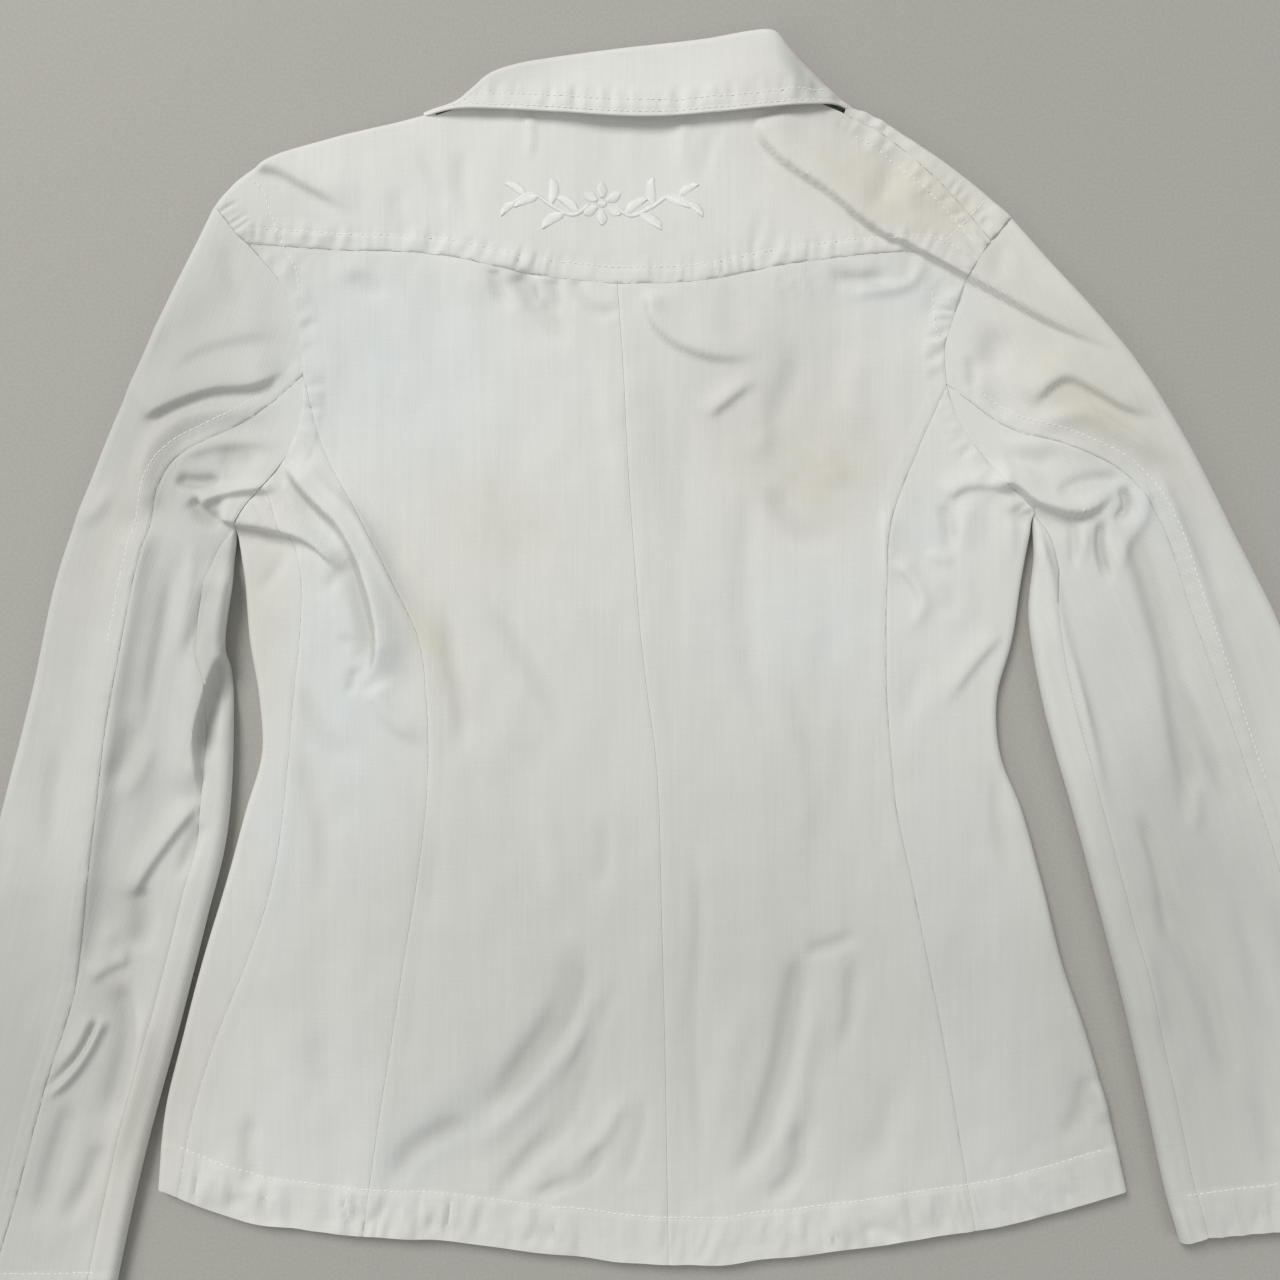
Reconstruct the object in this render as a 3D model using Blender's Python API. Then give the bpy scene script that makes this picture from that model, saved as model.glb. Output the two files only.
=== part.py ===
"""A white cotton jacket laid flat on its front, with its back and collar on top.

The jacket is modelled as the pieces that a maker cuts and sews: a yoke, two centre backs, two side backs,
two fronts, two-part sleeves, a collar fall and a collar stand. Each piece is one wall of cloth.

Lengths are millimetres in the tables and metres in the meshes. In plan, +X is the wearer's right and +Y
points to the collar. The underside lies on z = 0.
"""
import math

import bmesh
import bpy
import numpy as np

MM = 0.001
WALL = 2.0                # thickness of the cloth, doubled edges included
SEAM_GAP = 0.3            # space between two pieces at a seam
PLAN_CENTRE = (2.506, -21.328)    # middle of the laid-out jacket in the plan of the tables

BODY_HEIGHT = 7.6         # top of the body above the table, away from folds
SLEEVE_HEIGHT = 10.5       # top of the sleeves away from the armholes
SLEEVE_RISE_LENGTH = 70.0
INNER_SEAM_INSET = 9.0    # the sleeve's inner seam lies this far in from where its edge rolls under
LEAST_HEIGHT = 5.0        # troughs go no lower than this
LEAST_FOLD_WIDTH = 8.0    # narrowest side of a fold that these walls follow
OVERLAP_RAISE = 2.4       # what lies on one more layer is lifted by this
FRONT_OVERLAP = 12.0      # each front passes the centre by this
COLLAR_ROLL = 4.0
COLLAR_STEP = 2.8         # outer face of the fall above the yoke at the fold
COLLAR_LIFT = 3.2         # more height at its loose edge
COLLAR_CLEARANCE = 1.2    # least space between the fall and what it lies on

BODY_ROWS = 24
UPPER_BACK_ROWS = 4
SLEEVE_ROWS = 21
UNDERARM_ROWS = 3         # rows of a sleeve that fan out from the underarm
INNER_ROWS = SLEEVE_ROWS - UNDERARM_ROWS
SHOULDER_COLUMNS = 5
NECK_COLUMNS = 8
YOKE_ROWS = 5
SIDE_COLUMNS = 4
UNDERARM_COLUMNS = 2
ROLL_STEPS = 4
FRONT_NECK_COLUMNS = 3

# Sections across the body. Columns: height in plan, left edge, left side seam, left princess seam,
# centre-back seam, right princess seam, right edge. The seams start at the armholes or the yoke.
BODY_SECTIONS = (
    # y, left, side, left princess, centre, right princess, right
    (30.0, -209.5, -179.0, -130.0, -2.0, 130.5, 202.0),
    (0.0, -207.0, -180.0, -117.0, 0.5, 130.0, 197.5),
    (-30.0, -202.0, -183.0, -113.0, 4.0, 130.5, 189.5),
    (-60.0, -200.5, -185.5, -112.0, 8.0, 132.5, 191.0),
    (-90.0, -209.0, -188.5, -113.5, 10.0, 135.5, 202.5),
    (-130.0, -220.0, -195.0, -118.5, 11.0, 144.0, 213.5),
    (-170.0, -232.0, -208.0, -125.0, 12.0, 152.0, 223.5),
    (-210.0, -242.5, -224.0, -131.0, 13.0, 160.0, 237.0),
    (-250.0, -252.0, -236.5, -137.5, 13.7, 166.5, 248.5),
)

# Sections across each sleeve. Columns: x and y of the outer edge, the back seam and the inner edge.
LEFT_SLEEVE_SECTIONS = (
    # outer x, y, back seam x, y, inner edge x, y
    (-254.0, 171.0, -205.0, 117.0, -216.5, 30.0),
    (-284.0, 101.0, -247.0, 93.0, -220.0, -4.0),
    (-309.0, 32.0, -260.0, 52.0, -217.0, -16.0),
    (-323.0, -33.0, -270.0, 5.0, -215.5, -55.0),
    (-340.0, -98.0, -280.0, -50.0, -219.0, -104.0),
    (-355.0, -150.0, -286.0, -105.0, -230.0, -150.0),
    (-371.0, -212.0, -296.0, -180.0, -245.0, -209.0),
    (-385.0, -268.0, -313.0, -236.0, -261.0, -268.0),
    (-396.0, -318.0, -333.0, -310.0, -274.0, -325.0),
)
RIGHT_SLEEVE_SECTIONS = (
    # outer x, y, back seam x, y, inner edge x, y
    (225.0, 192.0, 195.0, 112.0, 208.5, 45.0),
    (261.0, 150.5, 225.0, 103.0, 206.0, 12.0),
    (289.0, 106.0, 256.0, 87.0, 213.0, -31.0),
    (314.0, 57.0, 274.0, 61.0, 220.0, -59.0),
    (339.0, 6.0, 290.0, 15.0, 229.0, -90.0),
    (360.0, -54.0, 310.0, -41.0, 244.0, -146.0),
    (379.0, -122.0, 330.0, -101.0, 256.5, -195.0),
    (394.0, -192.0, 352.0, -175.0, 268.0, -245.0),
    (404.0, -255.0, 371.0, -248.0, 278.5, -293.0),
)

# Named corners of the pattern pieces in plan.
LEFT_SHOULDER = (-226.0, 229.0)
RIGHT_SHOULDER = (197.0, 224.0)
LEFT_NECK = (-108.0, 279.0)
RIGHT_NECK = (109.0, 282.0)
LEFT_CROTCH = (-213.5, 58.0)
RIGHT_CROTCH = (208.5, 66.0)
LEFT_SIDE_TOP = (-199.0, 82.0)
LEFT_BACK_JOIN = (-178.0, 140.0)
RIGHT_BACK_JOIN = (162.0, 135.0)
LEFT_YOKE_END = (-207.0, 209.0)
RIGHT_YOKE_END = (173.0, 193.0)
FRONT_SEAM_END = (185.0, 210.5)
CENTRE_BACK_TOP = (-12.0, 188.0)
HEM_CORNERS = ((-255.5, -291.0), (258.0, -291.5))
LEFT_CUFF = ((-405.0, -363.0), (-351.0, -365.0), (-281.0, -362.0))
RIGHT_CUFF = ((410.0, -304.0), (385.0, -308.0), (286.0, -319.0))

# Where the other edges bend between those corners. Each row is a place in plan.
LEFT_SHOULDER_EDGE = ((-213.0, 244.0), (-190.0, 257.5), (-161.0, 266.0), (-131.0, 273.0))
RIGHT_SHOULDER_EDGE = ((178.0, 240.5), (151.0, 259.0), (121.0, 278.0))
LEFT_ARMHOLE_YOKE = ((-217.0, 219.0),)
LEFT_ARMHOLE_BACK = ((-191.0, 190.0), (-182.0, 172.0))
LEFT_ARMHOLE_SIDE = ((-178.5, 124.0), (-182.0, 108.0), (-189.0, 94.5))
LEFT_ARMHOLE_UNDER = ((-207.5, 72.0),)
RIGHT_ARMHOLE_YOKE = ((178.0, 201.0),)
RIGHT_ARMHOLE_BACK = ((169.0, 180.0), (161.0, 155.0))
RIGHT_ARMHOLE_SIDE = ((167.0, 118.0), (173.5, 107.0), (181.0, 98.0), (188.0, 88.5), (198.0, 79.0))
LEFT_YOKE_SEAM = ((-161.0, 206.0), (-106.0, 203.0), (-57.0, 193.0))
RIGHT_YOKE_SEAM = ((32.0, 190.0), (77.0, 198.0), (131.0, 204.0), (150.0, 204.5))
FRONT_YOKE_SEAM = ((128.0, 266.0), (149.0, 249.0), (168.0, 231.0))
NECKLINE = ((-76.0, 287.0), (-30.0, 289.5), (20.0, 290.5), (80.0, 289.5))
HEM_EDGE = ((-213.0, -306.0), (-161.0, -314.0), (-106.0, -317.0), (-21.0, -327.0), (32.0, -330.0),
            (90.0, -325.0), (145.0, -317.0), (200.0, -308.0))
LEFT_FRONT_ARMHOLE = ((-213.5, 79.0), (-202.0, 108.0), (-187.0, 150.0))
RIGHT_FRONT_ARMHOLE = ((208.5, 86.0), (197.0, 112.0), (181.0, 150.0), (184.0, 188.0))
COLLAR_EDGE = ((-98.0, 280.5), (-72.0, 284.0), (-21.0, 279.5), (47.0, 281.0), (92.0, 284.0))
COLLAR_FOLD = ((-98.0, 287.5), (-89.0, 294.5), (-80.0, 300.3), (-65.0, 304.5), (-28.0, 310.0),
               (32.0, 317.0), (70.0, 321.5), (80.0, 312.5), (93.0, 300.5), (104.0, 290.0))
COLLAR_TIPS = ((-117.5, 280.5), (114.0, 283.5))
COLLAR_TIP_WIDTH = 6.5

# The folds that show. Each row: path in plan, rise (a trough is below zero), width on the left of the path
# and on its right, and the share of the path over which it grows and fades.
FOLDS = (
    (((60, 276), (70, 257), (98, 238), (128, 215), (154, 205), (186, 187), (213, 171), (261, 150)),
     8.1, 26.0, 3.0, 0.08, 0.25),
    (((62, 262), (92, 232), (124, 206), (152, 194), (182, 176), (210, 160)), -1.8, 6.0, 12.0, 0.2, 0.3),
    (((-217, 63), (-195, 59), (-175, 52), (-161, 40)), 6.8, 18.0, 3.0, 0.15, 0.3),
    (((-181, 81), (-170, 65), (-155, 50), (-141, 6), (-142, -14), (-147, -26)), 7.4, 13.0, 3.0, 0.2, 0.3),
    (((-142, -17), (-127, -37), (-112, -54)), 2.7, 8.0, 8.0, 0.3, 0.5),
    (((-235, 82), (-233, 66), (-225, 54), (-217, 49)), -4.0, 7.0, 7.0, 0.3, 0.3),
    (((-233, 71), (-229, 77), (-222, 80), (-205, 83)), 6.8, 12.0, 5.0, 0.2, 0.4),
    (((-190, 142), (-217, 132), (-250, 112), (-280, 100)), -3.4, 9.0, 9.0, 0.3, 0.4),
    (((-205, 159), (-235, 142), (-275, 116)), 5.4, 9.0, 12.0, 0.3, 0.4),
    (((-244, 47), (-249, 21), (-256, -2)), 3.5, 8.0, 8.0, 0.4, 0.4),
    (((-228, 21), (-231, 5), (-235, -10)), 2.7, 6.0, 6.0, 0.4, 0.4),
    (((-250, -109), (-269, -132), (-287, -173)), -2.6, 7.0, 7.0, 0.3, 0.3),
    (((-281, -198), (-289, -213), (-299, -229), (-314, -243)), 4.1, 4.0, 9.0, 0.3, 0.3),
    (((-265, -183), (-275, -210), (-281, -248)), -2.8, 9.0, 9.0, 0.4, 0.4),
    (((-220, -3), (-231, -26), (-236, -48), (-236, -65), (-233, -81), (-225, -101)), 7.4, 3.0, 18.0, 0.2, 0.2),
    (((-263, 33), (-275, -20), (-285, -92), (-293, -143), (-297, -165)), 4.3, 3.5, 14.0, 0.2, 0.3),
    (((-201, 250), (-184, 246), (-168, 238), (-146, 226)), -1.6, 6.0, 6.0, 0.3, 0.4),
    (((2, 184), (5, 170), (17, 161), (47, 151)), -1.6, 8.0, 8.0, 0.3, 0.4),
    (((59, 131), (44, 116)), 2.4, 5.0, 5.0, 0.4, 0.4),
    (((-15, -152), (-37, -195), (-69, -232), (-101, -255), (-125, -279)), -2.0, 16.0, 16.0, 0.3, 0.3),
    (((6, -140), (-14, -180), (-44, -216), (-84, -240)), 3.5, 14.0, 14.0, 0.3, 0.3),
    (((82, -171), (74, -199), (67, -238), (52, -288)), -1.6, 12.0, 12.0, 0.3, 0.3),
    (((112, -164), (106, -195), (86, -249), (76, -292)), 3.2, 11.0, 11.0, 0.3, 0.3),
    (((189, 82), (173, 81), (163, 76), (160, 70)), -3.0, 7.0, 7.0, 0.3, 0.4),
    (((187, 75), (171, 42)), 5.4, 9.0, 9.0, 0.3, 0.4),
    (((132, 33), (148, 21), (142, 2)), 3.5, 7.0, 7.0, 0.4, 0.4),
    (((189, 6), (171, -14), (155, -35)), 4.6, 9.0, 9.0, 0.3, 0.4),
    (((237, -229), (234, -249), (222, -267)), -2.6, 8.0, 8.0, 0.3, 0.4),
    (((243, -233), (249, -255)), 3.8, 9.0, 9.0, 0.4, 0.4),
    (((191, 85), (205, 79), (217, 70), (231, 67), (245, 75), (250, 78)), 8.8, 15.0, 3.0, 0.2, 0.12),
    (((245, 71), (242, 50), (248, 26)), -2.4, 5.0, 5.0, 0.2, 0.5),
    (((207, 115), (231, 116), (258, 105), (288, 85), (317, 47), (326, 33)), 6.2, 3.0, 16.0, 0.2, 0.3),
    (((234, 131), (252, 122), (271, 118)), -3.0, 7.0, 7.0, 0.3, 0.4),
    (((246, 61), (266, 13), (282, -26), (283, -92)), -3.2, 12.0, 12.0, 0.3, 0.4),
    (((274, -128), (285, -161), (299, -189), (305, -216)), -3.0, 11.0, 11.0, 0.3, 0.4),
    (((213, 54), (225, 4), (243, -62)), 4.3, 9.0, 9.0, 0.3, 0.4),
)


def smooth_step(value):
    value = np.clip(value, 0.0, 1.0)
    return value * value * (3.0 - 2.0 * value)


def curve_through(points, count):
    """Return count + 1 places, evenly spaced along a smooth curve through the points."""
    points = np.array(points, dtype=float)
    before = 2.0 * points[0] - points[1]
    after = 2.0 * points[-1] - points[-2]
    chain = np.vstack([before, points, after])
    dense = []
    for index in range(1, len(chain) - 2):
        p0, p1, p2, p3 = chain[index - 1:index + 3]
        knots = [0.0]
        for near, far in ((p0, p1), (p1, p2), (p2, p3)):
            knots.append(knots[-1] + max(np.linalg.norm(far - near), 1e-6) ** 0.5)
        for step in range(24):
            t = knots[1] + (knots[2] - knots[1]) * step / 24.0
            a1 = (knots[1] - t) / (knots[1] - knots[0]) * p0 + (t - knots[0]) / (knots[1] - knots[0]) * p1
            a2 = (knots[2] - t) / (knots[2] - knots[1]) * p1 + (t - knots[1]) / (knots[2] - knots[1]) * p2
            a3 = (knots[3] - t) / (knots[3] - knots[2]) * p2 + (t - knots[2]) / (knots[3] - knots[2]) * p3
            b1 = (knots[2] - t) / (knots[2] - knots[0]) * a1 + (t - knots[0]) / (knots[2] - knots[0]) * a2
            b2 = (knots[3] - t) / (knots[3] - knots[1]) * a2 + (t - knots[1]) / (knots[3] - knots[1]) * a3
            dense.append((knots[2] - t) / (knots[2] - knots[1]) * b1 + (t - knots[1]) / (knots[2] - knots[1]) * b2)
    dense.append(points[-1])
    dense = np.array(dense)
    lengths = np.concatenate([[0.0], np.cumsum(np.linalg.norm(np.diff(dense, axis=0), axis=1))])
    wanted = np.linspace(0.0, lengths[-1], count + 1)
    places = np.column_stack([np.interp(wanted, lengths, dense[:, axis]) for axis in (0, 1)])
    places[0] = points[0]
    places[-1] = points[-1]
    return places


def nearest_on_path(places, path):
    """Return, for each place, its distance to the path, the share along it and the side it is on."""
    best = np.full(len(places), 1e9)
    share = np.zeros(len(places))
    side = np.ones(len(places))
    lengths = np.linalg.norm(np.diff(path, axis=0), axis=1)
    starts = np.concatenate([[0.0], np.cumsum(lengths)])
    for index, length in enumerate(lengths):
        along = (path[index + 1] - path[index]) / length
        offset = places - path[index]
        t = np.clip(offset @ along, 0.0, length)
        gap = offset - t[:, None] * along
        distance = np.linalg.norm(gap, axis=1)
        closer = distance < best
        best[closer] = distance[closer]
        share[closer] = ((starts[index] + t) / starts[-1])[closer]
        side[closer] = np.sign(along[0] * offset[:, 1] - along[1] * offset[:, 0])[closer]
    return best, share, side


FOLD_PATHS = [curve_through(row[0], 16) for row in FOLDS]


def fold_height(places):
    total = np.zeros(len(places))
    for path, (_, rise, left, right, grow, fade) in zip(FOLD_PATHS, FOLDS):
        distance, share, side = nearest_on_path(places, path)
        width = np.where(side > 0, max(left, LEAST_FOLD_WIDTH), max(right, LEAST_FOLD_WIDTH))
        ends = smooth_step(share / grow) * smooth_step((1.0 - share) / fade)
        total += rise * np.exp(-(distance / width) ** 2) * ends
    return total


def raise_near_collar(places):
    """The fronts and the shoulders lie on the collar's front leaves, so they are lifted there."""
    total = np.zeros(len(places))
    for centre in ((-95.0, 258.0), (95.0, 258.0)):
        distance = np.linalg.norm(places - np.array(centre), axis=1)
        total = np.maximum(total, OVERLAP_RAISE * (1.0 - smooth_step((distance - 57.0) / 30.0)))
    return total


def raise_at_overlap(places):
    """The left front is lifted where it lies on the right one, along the centre."""
    x = places[:, 0]
    return OVERLAP_RAISE * smooth_step((x + FRONT_OVERLAP + 45.0) / 25.0) * smooth_step((FRONT_OVERLAP + 38.0 - x) / 25.0)


def top_height(places, sleeve=None):
    """Height of the upper face. sleeve is the armhole that the height of a sleeve grows away from."""
    height = BODY_HEIGHT + 0.7 * raise_near_collar(places) + fold_height(places)
    if sleeve is not None:
        distance = nearest_on_path(places, sleeve)[0]
        height += (SLEEVE_HEIGHT - BODY_HEIGHT) * smooth_step(distance / SLEEVE_RISE_LENGTH)
    return np.maximum(height, LEAST_HEIGHT + raise_near_collar(places) + raise_at_overlap(places))


def low_height(places, overlap=False):
    """Height of the lower face. With overlap, the left front is lifted where it lies on the right one."""
    height = raise_near_collar(places)
    if overlap:
        height = height + raise_at_overlap(places)
    return height


def top_points(places, sleeve=None):
    """Points on the upper face, with the direction out of the cloth."""
    rows = len(places)
    return np.column_stack([places, top_height(places, sleeve), np.zeros((rows, 2)), np.ones(rows)])


def low_points(places, overlap=False):
    rows = len(places)
    return np.column_stack([places, low_height(places, overlap), np.zeros((rows, 2)), -np.ones(rows)])


class Edge:
    """An outline edge of the laid-out jacket, where the cloth rolls from the top to the underside."""

    def __init__(self, places, outward_left, height, roll=None, low=None, underarm=None):
        """height gives the upper face's height at each place of the edge, in the same order.

        underarm is the index of the place where the edge turns from a sleeve to the body.
        """
        along = np.gradient(places, axis=0)
        along /= np.linalg.norm(along, axis=1)[:, None]
        turn = 1.0 if outward_left else -1.0
        self.places = places
        self.outward = turn * np.column_stack([-along[:, 1], along[:, 0]])
        if underarm is not None:
            self.outward[underarm] = (0.0, -1.0)
        first_guess = (height(places) - low_height(places)) / 2.0
        self.radius = np.clip(first_guess, 2.8, 6.0) if roll is None else roll
        self.inside = places - self.radius[:, None] * self.outward
        self.high = height(self.inside)
        self.low = low_height(self.inside) if low is None else low

    def part(self, start, stop):
        piece = Edge.__new__(Edge)
        for name in ("places", "outward", "high", "low", "radius", "inside"):
            setattr(piece, name, getattr(self, name)[start:stop + 1])
        return piece

    def reversed(self):
        piece = Edge.__new__(Edge)
        for name in ("places", "outward", "high", "low", "radius", "inside"):
            setattr(piece, name, getattr(self, name)[::-1])
        return piece

    def roll_grid(self):
        """Rows along the edge, columns from the top round to the underside."""
        columns = []
        for step in range(ROLL_STEPS + 1):
            angle = math.pi / 2.0 - math.pi * step / ROLL_STEPS
            reach = self.inside + self.radius[:, None] * math.cos(angle) * self.outward
            middle = (self.high + self.low) / 2.0
            height = middle + (self.high - self.low) / 2.0 * math.sin(angle)
            out = np.column_stack([math.cos(angle) * self.outward, np.full(len(reach), math.sin(angle))])
            columns.append(np.column_stack([reach, height, out]))
        return np.stack(columns, axis=1)


def patch(first, last, start, end):
    """Fill between four edges. first and last run along the rows, start and end across the columns."""
    rows = len(first)
    columns = len(start)
    u = np.linspace(0.0, 1.0, columns)[None, :, None]
    v = np.linspace(0.0, 1.0, rows)[:, None, None]
    ruled_rows = (1.0 - u) * first[:, None, :] + u * last[:, None, :]
    ruled_columns = (1.0 - v) * start[None, :, :] + v * end[None, :, :]
    corners = ((1.0 - u) * (1.0 - v) * first[0] + u * (1.0 - v) * last[0]
               + (1.0 - u) * v * first[-1] + u * v * last[-1])
    return ruled_rows + ruled_columns - corners


def fanned_patch(first, last, start, end):
    """Like patch, where the first rows turn round the first place of a shorter last edge."""
    fan = len(first) - len(last)
    line = straight(first[fan], last[0], len(start) - 1)
    pivot = np.repeat(last[:1], fan + 1, axis=0)
    upper = patch(first[:fan + 1], pivot, start, line)
    lower = patch(first[fan:], last, line, end)
    return np.vstack([upper, lower[1:]])


def on_top(grid, sleeve=None):
    rows, columns, _ = grid.shape
    return top_points(grid.reshape(-1, 2), sleeve).reshape(rows, columns, 6)


def on_table(grid, overlap=False):
    rows, columns, _ = grid.shape
    return low_points(grid.reshape(-1, 2), overlap).reshape(rows, columns, 6)


def straight(start, end, count):
    return np.linspace(np.array(start, dtype=float), np.array(end, dtype=float), count + 1)


def chain(*pieces):
    """Join polylines whose ends meet."""
    joined = [pieces[0]]
    for piece in pieces[1:]:
        joined.append(piece[1:])
    return np.vstack(joined)


def column_of(table, column, start, end):
    """Places down one seam of the body table, with the corners at its ends."""
    middle = [(row[column], row[0]) for row in table]
    return [start] + middle + [end]


def sleeve_column(table, column, start, end):
    return [start] + [(row[column], row[column + 1]) for row in table] + [end]


def make_material(name, colour):
    material = bpy.data.materials.new(name)
    material.use_nodes = True
    shader = material.node_tree.nodes["Principled BSDF"]
    shader.inputs["Base Color"].default_value = (*colour, 1.0)
    shader.inputs["Roughness"].default_value = 0.85
    shader.inputs["Metallic"].default_value = 0.0
    return material


def add_grid(mesh, out_layer, grid):
    rows, columns, _ = grid.shape
    corners = []
    for row in range(rows):
        line = []
        for column in range(columns):
            corner = mesh.verts.new(grid[row, column, :3] * MM)
            corner[out_layer] = grid[row, column, 3:]
            line.append(corner)
        corners.append(line)
    for row in range(rows - 1):
        for column in range(columns - 1):
            mesh.faces.new((corners[row][column], corners[row][column + 1],
                            corners[row + 1][column + 1], corners[row + 1][column]))


def inset_seams(mesh, out_layer):
    """Move the border in along the cloth by half a seam gap, so that two pieces never touch."""
    inward = {}
    for edge in mesh.edges:
        if not edge.is_boundary:
            continue
        first, second = edge.verts
        along = (second.co - first.co).normalized()
        out = (first[out_layer] + second[out_layer]).normalized()
        inside = along.cross(out).normalized()
        face = edge.link_faces[0]
        middle = (first.co + second.co) / 2.0
        if inside.dot(face.calc_center_median() - middle) < 0.0:
            inside.negate()
        inward.setdefault(first, []).append(inside)
        inward.setdefault(second, []).append(inside)
    moves = {}
    for corner, sides in inward.items():
        share = max(1.0 + sides[0].dot(sides[-1]), 0.4)
        moves[corner] = (sides[0] + sides[-1]) / share * (SEAM_GAP / 2.0 * MM)
    for corner, move in moves.items():
        corner.co += move


def thicken(mesh, out_layer):
    """Give the sheet an inner face one wall away, and close the border between them."""
    outer_faces = list(mesh.faces)
    border = [edge for edge in mesh.edges if edge.is_boundary]
    inner = {}
    for corner in list(mesh.verts):
        twin = mesh.verts.new(corner.co - corner[out_layer].normalized() * (WALL * MM))
        inner[corner] = twin
    for face in outer_faces:
        mesh.faces.new([inner[corner] for corner in reversed(face.verts)])
    for edge in border:
        first, second = edge.verts
        mesh.faces.new((first, second, inner[second], inner[first]))
    bmesh.ops.recalc_face_normals(mesh, faces=list(mesh.faces))


def make_piece(name, grids, colour, root):
    mesh = bmesh.new()
    out_layer = mesh.verts.layers.float_vector.new("out")
    for grid in grids:
        moved = grid.copy()
        moved[:, :, 0] -= PLAN_CENTRE[0]
        moved[:, :, 1] -= PLAN_CENTRE[1]
        add_grid(mesh, out_layer, moved)
    bmesh.ops.remove_doubles(mesh, verts=list(mesh.verts), dist=0.02 * MM)
    bmesh.ops.recalc_face_normals(mesh, faces=list(mesh.faces))
    bmesh.ops.triangulate(mesh, faces=list(mesh.faces), quad_method="SHORT_EDGE")
    inset_seams(mesh, out_layer)
    thicken(mesh, out_layer)
    bmesh.ops.triangulate(mesh, faces=list(mesh.faces), quad_method="SHORT_EDGE")
    data = bpy.data.meshes.new(name)
    mesh.to_mesh(data)
    mesh.free()
    data.shade_smooth()
    data.set_sharp_from_angle(angle=math.radians(40.0))
    piece = bpy.data.objects.new(name, data)
    piece.parent = root
    data.materials.append(make_material(name + "_cloth", colour))
    bpy.context.scene.collection.objects.link(piece)
    return piece


def lay_out():
    """Work out every seam and outline edge once, so that neighbours share the same places."""
    plan = {}
    # Armholes on the back, from each shoulder to each underarm.
    left_yoke = curve_through((LEFT_SHOULDER,) + LEFT_ARMHOLE_YOKE + (LEFT_YOKE_END,), 3)
    left_back = curve_through((LEFT_YOKE_END,) + LEFT_ARMHOLE_BACK + (LEFT_BACK_JOIN,), UPPER_BACK_ROWS)
    left_side = np.array((LEFT_BACK_JOIN,) + LEFT_ARMHOLE_SIDE + (LEFT_SIDE_TOP,))
    right_yoke = curve_through((FRONT_SEAM_END,) + RIGHT_ARMHOLE_YOKE + (RIGHT_YOKE_END,), 2)
    right_back = curve_through((RIGHT_YOKE_END,) + RIGHT_ARMHOLE_BACK + (RIGHT_BACK_JOIN,), UPPER_BACK_ROWS)
    plan["left_armhole_line"] = chain(left_yoke, left_back, left_side, np.array([LEFT_SIDE_TOP, LEFT_CROTCH]))
    right_side_line = curve_through((RIGHT_BACK_JOIN,) + RIGHT_ARMHOLE_SIDE + (RIGHT_CROTCH,), 8)
    plan["right_armhole_line"] = chain(np.array([RIGHT_SHOULDER, FRONT_SEAM_END]), right_yoke, right_back,
                                       right_side_line)
    left_line = plan["left_armhole_line"]
    right_line = plan["right_armhole_line"]

    # Outline edges: over each shoulder and down the outside of the sleeve.
    def outer_edge(neck, shoulder_bends, shoulder, table, cuff, line, outward_left):
        over = curve_through((neck,) + shoulder_bends + (shoulder,), SHOULDER_COLUMNS)
        down = curve_through(sleeve_column(table, 0, shoulder, cuff), SLEEVE_ROWS)

        def height(places):
            high = top_height(places, line)
            high[:SHOULDER_COLUMNS] = top_height(places[:SHOULDER_COLUMNS])
            return high

        return Edge(chain(over, down), outward_left, height)

    plan["left_outer"] = outer_edge(LEFT_NECK, LEFT_SHOULDER_EDGE[::-1], LEFT_SHOULDER, LEFT_SLEEVE_SECTIONS,
                                    LEFT_CUFF[0], left_line, False)
    plan["right_outer"] = outer_edge(RIGHT_NECK, RIGHT_SHOULDER_EDGE[::-1], RIGHT_SHOULDER,
                                     RIGHT_SLEEVE_SECTIONS, RIGHT_CUFF[0], right_line, True)

    # Outline edges: up the inside of each sleeve, round the underarm and down the body.
    def inner_edge(cuff, table, crotch, body_column, corner, line, outward_left):
        up = curve_through(sleeve_column(table, 4, crotch, cuff), INNER_ROWS)[::-1]
        down = curve_through(column_of(BODY_SECTIONS, body_column, crotch, corner), BODY_ROWS)

        def height(places):
            high = top_height(places)
            high[:INNER_ROWS] = top_height(places[:INNER_ROWS], line)
            return high

        return Edge(chain(up, down), outward_left, height, underarm=INNER_ROWS)

    plan["left_inner"] = inner_edge(LEFT_CUFF[2], LEFT_SLEEVE_SECTIONS, LEFT_CROTCH, 1, HEM_CORNERS[0],
                                    left_line, False)
    plan["right_inner"] = inner_edge(RIGHT_CUFF[2], RIGHT_SLEEVE_SECTIONS, RIGHT_CROTCH, 6, HEM_CORNERS[1],
                                     right_line, True)

    shoulder = plan["left_outer"].inside[SHOULDER_COLUMNS]
    plan["left_armhole_yoke"] = curve_through((shoulder, (-213.5, 215.0), LEFT_YOKE_END), 3)
    plan["left_armhole_back"] = left_back
    plan["left_armhole_side"] = left_side
    crotch = plan["left_inner"].inside[INNER_ROWS]
    plan["left_armhole_under"] = np.array((LEFT_SIDE_TOP,) + LEFT_ARMHOLE_UNDER + (tuple(crotch),))
    shoulder = plan["right_outer"].inside[SHOULDER_COLUMNS]
    plan["right_armhole_front"] = straight(shoulder, FRONT_SEAM_END, 2)
    plan["right_armhole_yoke"] = right_yoke
    plan["right_armhole_back"] = right_back
    crotch = plan["right_inner"].inside[INNER_ROWS]
    plan["right_armhole_side"] = np.array((RIGHT_BACK_JOIN,) + RIGHT_ARMHOLE_SIDE + (tuple(crotch),))

    # The hem and the long seams that run down to it.
    left_corner = plan["left_inner"].inside[-1]
    right_corner = plan["right_inner"].inside[-1]
    hem = curve_through((left_corner,) + HEM_EDGE + (right_corner,), 400)

    def hem_at(x):
        return np.array([x, np.interp(x, hem[:, 0], hem[:, 1])])

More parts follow.
